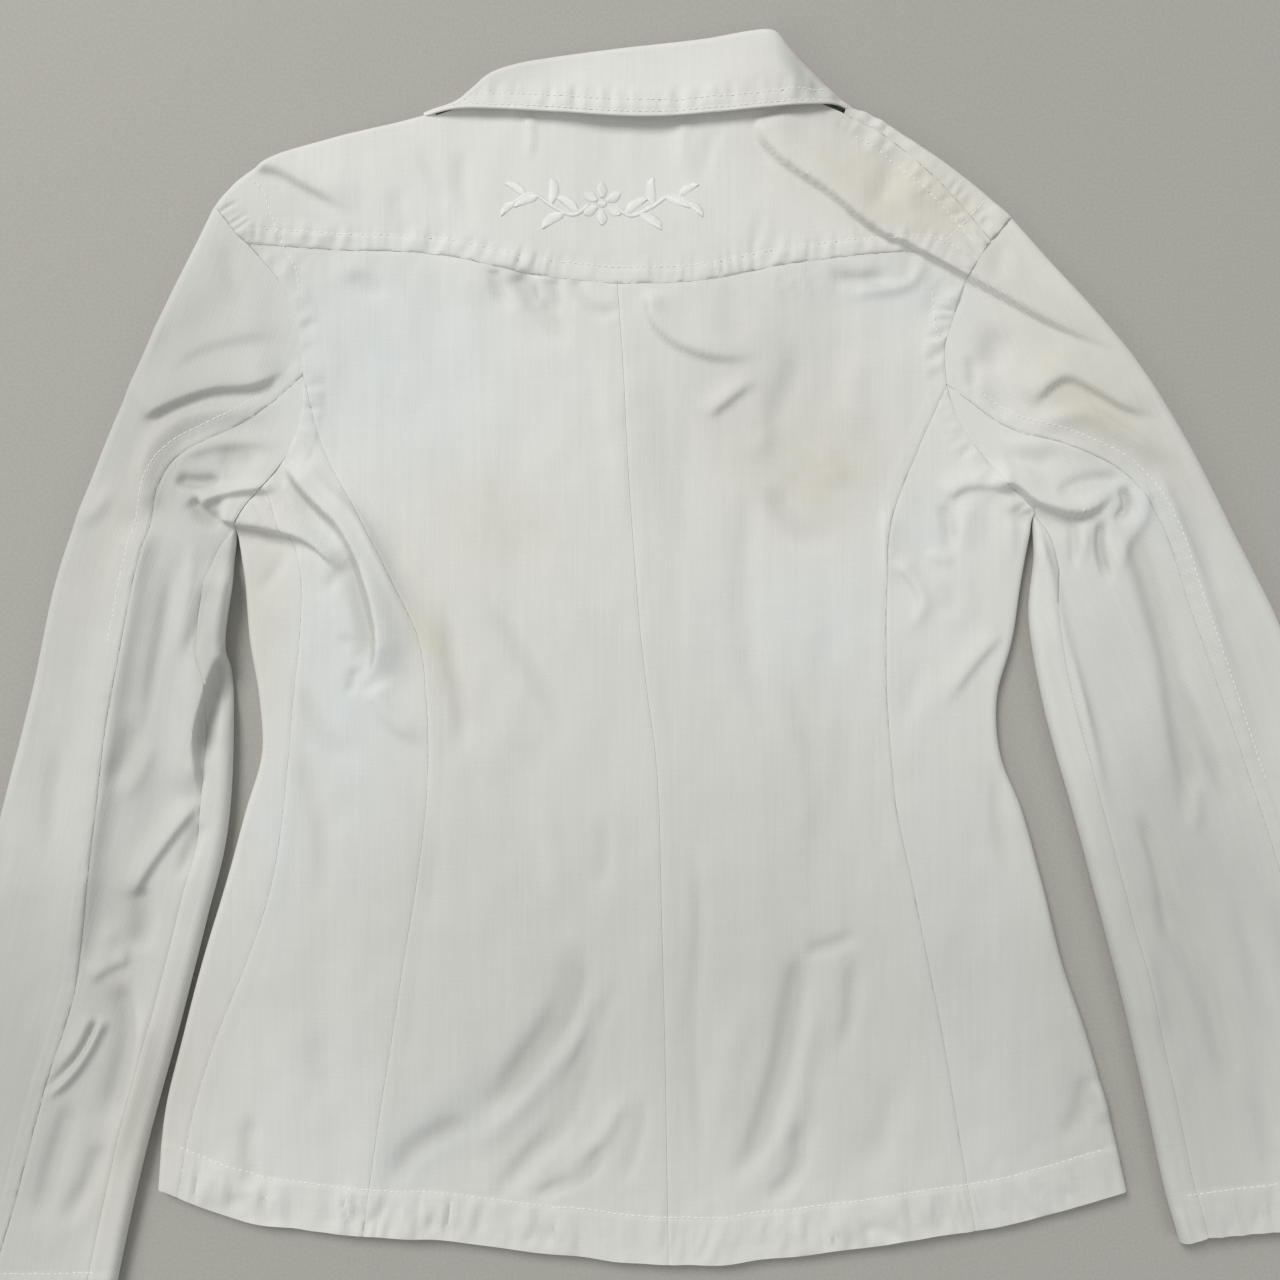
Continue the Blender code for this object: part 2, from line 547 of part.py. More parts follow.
    def along_hem(start_x, end_x, count):
        xs = np.linspace(start_x, end_x, count + 1)
        return np.column_stack([xs, np.interp(xs, hem[:, 0], hem[:, 1])])

    ends = {"left_side": -244.0, "left_princess": -146.5, "centre": 15.0, "right_princess": 177.0}
    columns = {"left_side": 2, "left_princess": 3, "centre": 4, "right_princess": 5}
    tops = {"left_side": LEFT_SIDE_TOP, "left_princess": LEFT_BACK_JOIN, "right_princess": RIGHT_BACK_JOIN}
    bends = {"left_side": ((-192.0, 66.0), (-182.5, 48.0)), "left_princess": ((-167.0, 100.0), (-146.0, 62.0)),
             "right_princess": ((146.5, 100.0), (132.0, 60.0))}
    for name, top in tops.items():
        middle = [(row[columns[name]], row[0]) for row in BODY_SECTIONS]
        plan[name] = curve_through([top, *bends[name], *middle, hem_at(ends[name])], BODY_ROWS)
    middle = [(row[4], row[0]) for row in BODY_SECTIONS]
    centre = curve_through([CENTRE_BACK_TOP, (-9.0, 145.0), (-6.8, 100.0), (-4.2, 60.0), *middle, hem_at(15.0)],
                           UPPER_BACK_ROWS + BODY_ROWS)
    plan["centre"] = centre
    plan["hem_left_edge"] = along_hem(left_corner[0], ends["left_side"], UNDERARM_COLUMNS)
    plan["hem_left_side"] = along_hem(ends["left_side"], ends["left_princess"], SIDE_COLUMNS)
    half = SHOULDER_COLUMNS + NECK_COLUMNS // 2
    plan["hem_left_back"] = along_hem(ends["left_princess"], 15.0, half)
    plan["hem_right_back"] = along_hem(15.0, ends["right_princess"], half)
    plan["hem_right_side"] = along_hem(ends["right_princess"], right_corner[0], SIDE_COLUMNS + UNDERARM_COLUMNS)
    plan["hem_line"] = along_hem

    # The yoke's seams.
    plan["left_yoke_seam"] = curve_through((LEFT_YOKE_END,) + LEFT_YOKE_SEAM + (CENTRE_BACK_TOP,), half)
    plan["right_yoke_seam"] = curve_through((CENTRE_BACK_TOP,) + RIGHT_YOKE_SEAM + (RIGHT_YOKE_END,), half)
    neck = plan["right_outer"]
    front_start = neck.inside[0] - 2.5 * neck.outward[0]
    plan["front_yoke_seam"] = curve_through((front_start,) + FRONT_YOKE_SEAM + (FRONT_SEAM_END,),
                                            SHOULDER_COLUMNS)
    left_neck = plan["left_outer"].inside[0]
    left_part = straight(left_neck, NECKLINE[0], 1)
    right_part = straight(NECKLINE[-1], front_start, 1)
    middle_part = curve_through(NECKLINE, NECK_COLUMNS - 2)
    plan["stand_seam"] = middle_part
    plan["neckline"] = chain(left_part, middle_part, right_part)
    return plan


def build_yoke(plan):
    left = plan["left_outer"].part(0, SHOULDER_COLUMNS).reversed()
    lower = chain(plan["left_yoke_seam"], plan["right_yoke_seam"])
    upper = chain(left.inside, plan["neckline"], plan["front_yoke_seam"])
    left_end = curve_through(plan["left_armhole_yoke"][::-1], YOKE_ROWS)
    right_end = curve_through(plan["right_armhole_yoke"][::-1], YOKE_ROWS)
    back = on_top(patch(left_end, right_end, lower, upper))
    wrap = left.roll_grid()
    low_edge = left.inside
    seam_end = np.array((-209.0, 210.0))
    front_seam = np.linspace(seam_end, left.inside[-1] + np.array((6.0, -22.0)), SHOULDER_COLUMNS + 1)
    tab = on_table(np.stack([low_edge, front_seam], axis=1))
    plan["front_yoke_left"] = front_seam
    return [back, wrap, tab]


def build_backs(plan):
    left_outer = chain(plan["left_armhole_back"], plan["left_princess"])
    left = on_top(patch(left_outer, plan["centre"], plan["left_yoke_seam"], plan["hem_left_back"]))
    right_outer = chain(plan["right_armhole_back"], plan["right_princess"])
    right = on_top(patch(plan["centre"], right_outer, plan["right_yoke_seam"], plan["hem_right_back"]))
    return [left], [right]


def build_side_backs(plan):
    left = on_top(patch(plan["left_side"], plan["left_princess"], plan["left_armhole_side"][::-1],
                        plan["hem_left_side"]))
    edge = plan["right_inner"].part(INNER_ROWS, INNER_ROWS + BODY_ROWS)
    right = on_top(patch(plan["right_princess"], edge.inside, plan["right_armhole_side"],
                         plan["hem_right_side"]))
    return [left], [right, edge.roll_grid()]


def build_fronts(plan):
    bottom_columns = SHOULDER_COLUMNS + FRONT_NECK_COLUMNS
    # Left front: from the side seam on the back, round the left edge and under to the centre.
    edge = plan["left_inner"].part(INNER_ROWS, INNER_ROWS + BODY_ROWS)
    strip = on_top(patch(edge.inside, plan["left_side"], plan["left_armhole_under"][::-1],
                         plan["hem_left_edge"]))
    level = edge.inside[0][1]
    centre_x = FRONT_OVERLAP
    hem = plan["hem_line"](edge.inside[-1][0], centre_x, bottom_columns)
    centre = np.linspace(np.array((centre_x, level)), hem[-1], BODY_ROWS + 1)
    top = straight(edge.inside[0], centre[0], bottom_columns)
    lower = on_table(patch(edge.inside, centre, top, hem), overlap=True)
    yoke_seam = plan["front_yoke_left"]
    neck_point = yoke_seam[-1]
    neck_low = np.array((centre_x, 205.0))
    neckline = curve_through((neck_point, (-55.0, 222.0), neck_low), FRONT_NECK_COLUMNS)
    armhole = np.array((tuple(edge.inside[0]),) + LEFT_FRONT_ARMHOLE + (tuple(yoke_seam[0]),))
    upper = on_table(patch(armhole, straight(centre[0], neck_low, UPPER_BACK_ROWS), top,
                           chain(yoke_seam, neckline)), overlap=True)
    plan["left_front_armhole"] = armhole
    left = [strip, edge.roll_grid(), lower, upper]

    # Right front: from the body's right edge under to the centre, and over the shoulder to the yoke.
    edge = plan["right_inner"].part(INNER_ROWS, INNER_ROWS + BODY_ROWS)
    level = edge.inside[0][1]
    centre_x = -FRONT_OVERLAP
    hem = plan["hem_line"](centre_x, edge.inside[-1][0], bottom_columns)
    centre = np.linspace(np.array((centre_x, level)), hem[0], BODY_ROWS + 1)
    top = straight(centre[0], edge.inside[0], bottom_columns)
    lower = on_table(patch(centre, edge.inside, top, hem))
    over = plan["right_outer"].part(0, SHOULDER_COLUMNS)
    neck_low = np.array((centre_x, 205.0))
    neckline = curve_through((neck_low, (52.0, 222.0), over.inside[0]), FRONT_NECK_COLUMNS)
    armhole = np.array((tuple(edge.inside[0]),) + RIGHT_FRONT_ARMHOLE + (tuple(over.inside[-1]),))
    upper = on_table(patch(straight(centre[0], neck_low, UPPER_BACK_ROWS + 1), armhole, top,
                           chain(neckline, over.inside)))
    plan["right_front_armhole"] = armhole
    strip = on_top(patch(plan["right_armhole_front"], np.linspace(over.inside[0], plan["front_yoke_seam"][0], 3),
                         over.inside[::-1], plan["front_yoke_seam"][::-1]))
    right = [lower, upper, over.roll_grid(), strip]
    return left, right


def build_sleeve(plan, side, table, cuff, join):
    """Return the grids of a top sleeve and an under sleeve."""
    line = plan[side + "_armhole_line"]
    outer = plan[side + "_outer"].part(SHOULDER_COLUMNS, SHOULDER_COLUMNS + SLEEVE_ROWS)
    inner = plan[side + "_inner"].part(0, INNER_ROWS).reversed()
    seam = curve_through(sleeve_column(table, 2, join, cuff[1]), SLEEVE_ROWS)
    if side == "left":
        cap = chain(plan["left_armhole_yoke"], plan["left_armhole_back"])
        under = chain(plan["left_armhole_side"], plan["left_armhole_under"])
        front = chain(plan["front_yoke_left"][:1], plan["left_front_armhole"][::-1])
        front = np.vstack([outer.inside[0], front])
    else:
        cap = chain(plan["right_armhole_front"], plan["right_armhole_yoke"], plan["right_armhole_back"])
        under = plan["right_armhole_side"]
        front = plan["right_front_armhole"][::-1]
    top = on_top(patch(outer.inside, seam, cap, straight(outer.inside[-1], seam[-1], len(cap) - 1)), line)
    # The inner seam runs just inside the sleeve's inner edge.
    drift = np.minimum(np.arange(INNER_ROWS + 1) / 2.0, 1.0)[:, None]
    inner_seam = inner.inside - inner.outward * drift * INNER_SEAM_INSET
    under_grid = on_top(fanned_patch(seam, inner_seam, under,
                                     straight(seam[-1], inner_seam[-1], len(under) - 1)), line)
    strip = on_top(np.stack([inner_seam, inner.inside], axis=1), line)
    table_end = straight(outer.inside[-1], inner.inside[-1], len(front) - 1)
    low = on_table(fanned_patch(outer.inside, inner.inside, front, table_end))
    top_sleeve = [top, outer.roll_grid(), low, inner.roll_grid(), strip]
    return top_sleeve, [under_grid]


def fall_height(places):
    """The fall's upper face, where it isn't lifted, lies this high on the yoke and over its folds."""
    flat = BODY_HEIGHT + 0.7 * OVERLAP_RAISE + COLLAR_STEP
    return np.maximum(flat, top_height(places) + WALL + COLLAR_CLEARANCE)


def build_collar(plan):
    """Return the grids of the fall, folded over all round the neck, and of the stand inside it."""
    tips = [np.array(tip) for tip in COLLAR_TIPS]
    fold = curve_through((tips[0],) + COLLAR_FOLD + (tips[1],), 40)
    # Three columns lie on each side of the stand, which spans the middle ones.
    x = fold[:, 0]
    first = int(np.argmin(np.abs(x + 78.0)))
    last = int(np.argmin(np.abs(x - 82.0)))
    picks = [0, first // 2, first]
    middle = np.linspace(first, last, NECK_COLUMNS + 3)
    picks += [int(round(value)) for value in middle[1:]]
    picks += [(last + 40) // 2, 40]
    places = fold[picks]
    width_share = np.clip((np.abs(np.arange(len(picks)) - (len(picks) - 1) / 2.0)) / ((len(picks) - 1) / 2.0), 0, 1)
    roll = COLLAR_ROLL - 1.2 * width_share ** 6
    edge = Edge(places, True, fall_height, roll=roll, low=np.zeros(len(places)))
    left_end = places[0] - COLLAR_TIP_WIDTH * edge.outward[0]
    right_end = places[-1] - COLLAR_TIP_WIDTH * edge.outward[-1]
    loose = curve_through((left_end,) + COLLAR_EDGE + (right_end,), len(picks) - 1)
    rows = 4
    leaf_plan = patch(straight(loose[0], edge.inside[0], rows), straight(loose[-1], edge.inside[-1], rows),
                      loose, edge.inside)
    leaf = np.zeros((*leaf_plan.shape[:2], 6))
    leaf[:, :, :2] = leaf_plan
    share = np.linspace(1.0, 0.0, rows + 1)[:, None]
    middle = 1.0 - width_share[None, :] ** 4
    high = fall_height(leaf_plan.reshape(-1, 2)).reshape(leaf_plan.shape[:2])
    leaf[:, :, 2] = high + COLLAR_LIFT * smooth_step(share) * middle
    leaf[:, :, 5] = 1.0
    inner_end = 3 + NECK_COLUMNS + 2
    inside = edge.part(2, inner_end - 1)
    hidden = inside.inside - 4.0 * inside.outward
    turn = on_table_flat(np.stack([inside.inside, hidden], axis=1))
    left_leaf = on_table_flat(collar_leaf(edge.part(0, 2), (-84.0, 222.0), (-64.0, 238.0)))
    right_leaf = on_table_flat(collar_leaf(edge.part(inner_end - 1, len(picks) - 1).reversed(),
                                           (84.0, 222.0), (64.0, 238.0)))
    fall = [leaf, edge.roll_grid(), turn, left_leaf, right_leaf]

    # The stand climbs from the fold to the yoke's neckline.
    seam = resample(plan["stand_seam"], len(hidden) - 1)
    top_edge = hidden
    steps = 3
    stand_plan = patch(straight(top_edge[0], seam[0], steps), straight(top_edge[-1], seam[-1], steps),
                       top_edge, seam)
    neck_height = top_height(seam)
    stand = np.zeros((*stand_plan.shape[:2], 6))
    stand[:, :, :2] = stand_plan
    climb = smooth_step(np.linspace(0.0, 1.0, steps + 1))[:, None]
    stand[:, :, 2] = WALL + climb * (neck_height[None, :] - WALL)
    stand[:, :, 5] = 1.0
    return fall, [stand]


def resample(places, count):
    lengths = np.concatenate([[0.0], np.cumsum(np.linalg.norm(np.diff(places, axis=0), axis=1))])
    wanted = np.linspace(0.0, lengths[-1], count + 1)
    return np.column_stack([np.interp(wanted, lengths, places[:, axis]) for axis in (0, 1)])


def on_table_flat(grid):
    rows, columns, _ = grid.shape
    full = np.zeros((rows, columns, 6))
    full[:, :, :2] = grid
    full[:, :, 5] = -1.0
    return full


def collar_leaf(edge, outer_point, inner_point):
    """The front leaf of the fall, on the table, from the fold at the neck side to its point."""
    rows = 4
    end = straight(outer_point, inner_point, len(edge.inside) - 1)
    first = straight(edge.inside[0], outer_point, rows)
    bend = (math.copysign(91.0, inner_point[0]), 270.0)
    last = curve_through((edge.inside[-1], bend, inner_point), rows)
    return patch(first, last, edge.inside, end)


def main():
    for item in list(bpy.data.objects):
        bpy.data.objects.remove(item, do_unlink=True)
    root = bpy.data.objects.new("jacket", None)
    bpy.context.scene.collection.objects.link(root)
    plan = lay_out()
    white = (0.74, 0.74, 0.71)
    bluish = (0.68, 0.72, 0.73)
    cream = (0.73, 0.71, 0.63)
    make_piece("yoke", build_yoke(plan), white, root)
    left_back, right_back = build_backs(plan)
    make_piece("back_left", left_back, white, root)
    make_piece("back_right", right_back, cream, root)
    left_side, right_side = build_side_backs(plan)
    make_piece("side_back_left", left_side, bluish, root)
    make_piece("side_back_right", right_side, bluish, root)
    left_front, right_front = build_fronts(plan)
    make_piece("front_left", left_front, bluish, root)
    make_piece("front_right", right_front, cream, root)
    for side, table, cuff, join in (("left", LEFT_SLEEVE_SECTIONS, LEFT_CUFF, LEFT_BACK_JOIN),
                                    ("right", RIGHT_SLEEVE_SECTIONS, RIGHT_CUFF, RIGHT_BACK_JOIN)):
        top_sleeve, under_sleeve = build_sleeve(plan, side, table, cuff, join)
        make_piece("top_sleeve_" + side, top_sleeve, white, root)
        make_piece("under_sleeve_" + side, under_sleeve, cream, root)
    fall, stand = build_collar(plan)
    make_piece("collar_fall", fall, white, root)
    make_piece("collar_stand", stand, white, root)


main()
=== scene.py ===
"""A white cotton jacket laid flat on its front, seen from above, with its back and collar on top.

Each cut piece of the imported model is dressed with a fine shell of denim: its folds, seams, puckers and turned-up
hems are shaped here in millimetres, its rows of topstitching and its embroidery are thread by thread.

Lengths in the tables are millimetres in the plan of the laid-out jacket, with +X towards the wearer's right and
+Y towards the collar. The camera looks straight down on the middle of that plan.
"""
import math

import bpy
import numpy as np
from bpy.props import BoolProperty, FloatProperty, FloatVectorProperty, PointerProperty
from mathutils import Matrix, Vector


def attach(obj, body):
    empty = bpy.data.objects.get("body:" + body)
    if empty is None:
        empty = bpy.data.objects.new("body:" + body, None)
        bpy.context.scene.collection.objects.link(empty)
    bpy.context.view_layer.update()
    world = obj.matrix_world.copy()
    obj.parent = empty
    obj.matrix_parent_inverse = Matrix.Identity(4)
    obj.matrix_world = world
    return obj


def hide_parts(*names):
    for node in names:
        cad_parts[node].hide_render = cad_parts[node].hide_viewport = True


bl_info = {
    "name": "White Cotton Jacket, Laid Flat",
    "version": (1, 0, 0),
    "blender": (4, 5, 0),
    "location": "3D View > Sidebar > Jacket",
    "description": "Builds a laid-out white cotton jacket with its folds, seams, topstitching and embroidery",
    "category": "Object",
}

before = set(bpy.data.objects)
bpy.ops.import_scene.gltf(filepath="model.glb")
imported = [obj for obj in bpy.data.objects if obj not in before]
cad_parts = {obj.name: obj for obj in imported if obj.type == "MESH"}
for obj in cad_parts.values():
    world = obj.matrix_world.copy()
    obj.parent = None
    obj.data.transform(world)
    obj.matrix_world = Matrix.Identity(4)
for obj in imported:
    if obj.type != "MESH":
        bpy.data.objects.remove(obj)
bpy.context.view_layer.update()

MM = 0.001
PLAN_CENTRE = (2.506, -21.328)    # middle of the laid-out jacket in the plan of the tables
VIEW_HEIGHT = 0.6834              # camera above the table
VIEW_PLACE = (0.0, 0.0)           # the place in plan under the camera

BODY_HEIGHT = 7.6
SLEEVE_HEIGHT = 10.5
SLEEVE_RISE_LENGTH = 70.0
INNER_SEAM_INSET = 9.0
LEAST_HEIGHT = 4.2
LEAST_FOLD_WIDTH = 2.2
OVERLAP_RAISE = 2.4
FRONT_OVERLAP = 12.0
COLLAR_ROLL = 4.0
COLLAR_STEP = 2.8
COLLAR_LIFT = 3.2
COLLAR_CLEARANCE = 1.2
COLLAR_TIP_WIDTH = 3.2
COLLAR_END_FALL = 3.4
HEM_DEPTH = 25.0
CUFF_DEPTH = 29.0
HEM_FALL = 0.6                    # the hem sinks by this at its edge
SEAM_INSET = 0.05

ROLL_STEPS = 9
CLOTH_STEP = 1.75                 # space between the points of the upper cloth
TABLE_STEP = 9.0                  # and of the cloth on the table, across it

# Sections across the body. Columns: height in plan, left edge, left side seam, left princess seam,
# centre-back seam, right princess seam, right edge. The seams start at the armholes or the yoke.
BODY_SECTIONS = (
    # y, left, side, left princess, centre, right princess, right
    (30.0, -209.5, -179.0, -130.0, -2.0, 130.5, 202.0),
    (0.0, -207.0, -180.0, -117.0, 0.5, 130.0, 197.5),
    (-30.0, -202.0, -183.0, -113.0, 4.0, 130.5, 189.5),
    (-60.0, -200.5, -185.5, -112.0, 8.0, 132.5, 191.0),
    (-90.0, -209.0, -188.5, -113.5, 10.0, 135.5, 202.5),
    (-130.0, -220.0, -195.0, -118.5, 11.0, 144.0, 213.5),
    (-170.0, -232.0, -208.0, -125.0, 12.0, 152.0, 223.5),
    (-210.0, -242.5, -224.0, -131.0, 13.0, 160.0, 237.0),
    (-250.0, -252.0, -236.5, -137.5, 13.7, 166.5, 248.5),
)

# Sections across each sleeve. Columns: x and y of the outer edge, the back seam and the inner edge.
LEFT_SLEEVE_SECTIONS = (
    # outer x, y, back seam x, y, inner edge x, y
    (-254.0, 171.0, -205.0, 117.0, -216.5, 30.0),
    (-284.0, 101.0, -247.0, 93.0, -220.0, -4.0),
    (-309.0, 32.0, -260.0, 52.0, -217.0, -16.0),
    (-323.0, -33.0, -270.0, 5.0, -215.5, -55.0),
    (-340.0, -98.0, -280.0, -50.0, -219.0, -104.0),
    (-355.0, -150.0, -286.0, -105.0, -230.0, -150.0),
    (-371.0, -212.0, -296.0, -180.0, -245.0, -209.0),
    (-385.0, -268.0, -313.0, -236.0, -261.0, -268.0),
    (-396.0, -318.0, -333.0, -310.0, -274.0, -325.0),
)
RIGHT_SLEEVE_SECTIONS = (
    # outer x, y, back seam x, y, inner edge x, y
    (225.0, 192.0, 195.0, 112.0, 208.5, 45.0),
    (261.0, 150.5, 225.0, 103.0, 206.0, 12.0),
    (289.0, 106.0, 256.0, 87.0, 213.0, -31.0),
    (314.0, 57.0, 274.0, 61.0, 220.0, -59.0),
    (339.0, 6.0, 290.0, 15.0, 229.0, -90.0),
    (360.0, -54.0, 310.0, -41.0, 244.0, -146.0),
    (379.0, -122.0, 330.0, -101.0, 256.5, -195.0),
    (394.0, -192.0, 352.0, -175.0, 268.0, -245.0),
    (404.0, -255.0, 371.0, -248.0, 278.5, -293.0),
)

# Named corners of the pattern pieces in plan.
LEFT_SHOULDER = (-226.0, 229.0)
RIGHT_SHOULDER = (197.0, 224.0)
LEFT_NECK = (-108.0, 279.0)
RIGHT_NECK = (109.0, 282.0)
LEFT_CROTCH = (-213.5, 58.0)
RIGHT_CROTCH = (208.5, 66.0)
LEFT_SIDE_TOP = (-199.0, 82.0)
LEFT_BACK_JOIN = (-178.0, 140.0)
RIGHT_BACK_JOIN = (162.0, 135.0)
LEFT_YOKE_END = (-207.0, 209.0)
RIGHT_YOKE_END = (173.0, 193.0)
FRONT_SEAM_END = (185.0, 210.5)
CENTRE_BACK_TOP = (-12.0, 188.0)
HEM_CORNERS = ((-255.5, -291.0), (258.0, -291.5))
LEFT_CUFF = ((-405.0, -363.0), (-351.0, -365.0), (-281.0, -362.0))
RIGHT_CUFF = ((410.0, -304.0), (385.0, -308.0), (286.0, -319.0))

# Where the other edges bend between those corners. Each row is a place in plan.
LEFT_SHOULDER_EDGE = ((-213.0, 244.0), (-190.0, 257.5), (-161.0, 266.0), (-131.0, 273.0))
RIGHT_SHOULDER_EDGE = ((178.0, 240.5), (151.0, 259.0), (121.0, 278.0))
LEFT_ARMHOLE_YOKE = ((-217.0, 219.0),)
LEFT_ARMHOLE_BACK = ((-191.0, 190.0), (-182.0, 172.0))
LEFT_ARMHOLE_SIDE = ((-178.5, 124.0), (-182.0, 108.0), (-189.0, 94.5))
LEFT_ARMHOLE_UNDER = ((-207.5, 72.0),)
RIGHT_ARMHOLE_YOKE = ((178.0, 201.0),)
RIGHT_ARMHOLE_BACK = ((169.0, 180.0), (161.0, 155.0))
RIGHT_ARMHOLE_SIDE = ((167.0, 118.0), (173.5, 107.0), (181.0, 98.0), (188.0, 88.5), (198.0, 79.0))
LEFT_YOKE_SEAM = ((-161.0, 206.0), (-106.0, 203.0), (-57.0, 193.0))
RIGHT_YOKE_SEAM = ((32.0, 190.0), (77.0, 198.0), (131.0, 204.0), (150.0, 204.5))
FRONT_YOKE_SEAM = ((128.0, 266.0), (149.0, 249.0), (168.0, 231.0))
NECKLINE = ((-76.0, 287.0), (-30.0, 289.5), (20.0, 290.5), (80.0, 289.5))
HEM_EDGE = ((-213.0, -306.0), (-161.0, -314.0), (-106.0, -317.0), (-21.0, -327.0), (32.0, -330.0),
            (90.0, -325.0), (145.0, -317.0), (200.0, -308.0))
LEFT_FRONT_ARMHOLE = ((-213.5, 79.0), (-202.0, 108.0), (-187.0, 150.0))
RIGHT_FRONT_ARMHOLE = ((208.5, 86.0), (197.0, 112.0), (181.0, 150.0), (184.0, 188.0))
COLLAR_EDGE = ((-95.0, 278.5), (-74.0, 278.0), (-42.0, 276.0), (2.6, 274.0), (40.0, 276.0), (65.0, 278.5),
               (88.0, 280.5), (103.0, 281.0))
COLLAR_FOLD = ((-97.0, 284.8), (-88.5, 291.8), (-79.5, 299.0), (-65.0, 304.0), (-28.0, 310.0),
               (32.0, 317.0), (70.0, 321.0), (79.0, 311.5), (92.0, 299.0), (103.5, 287.5))
COLLAR_TIPS = ((-114.5, 279.0), (112.5, 281.5))

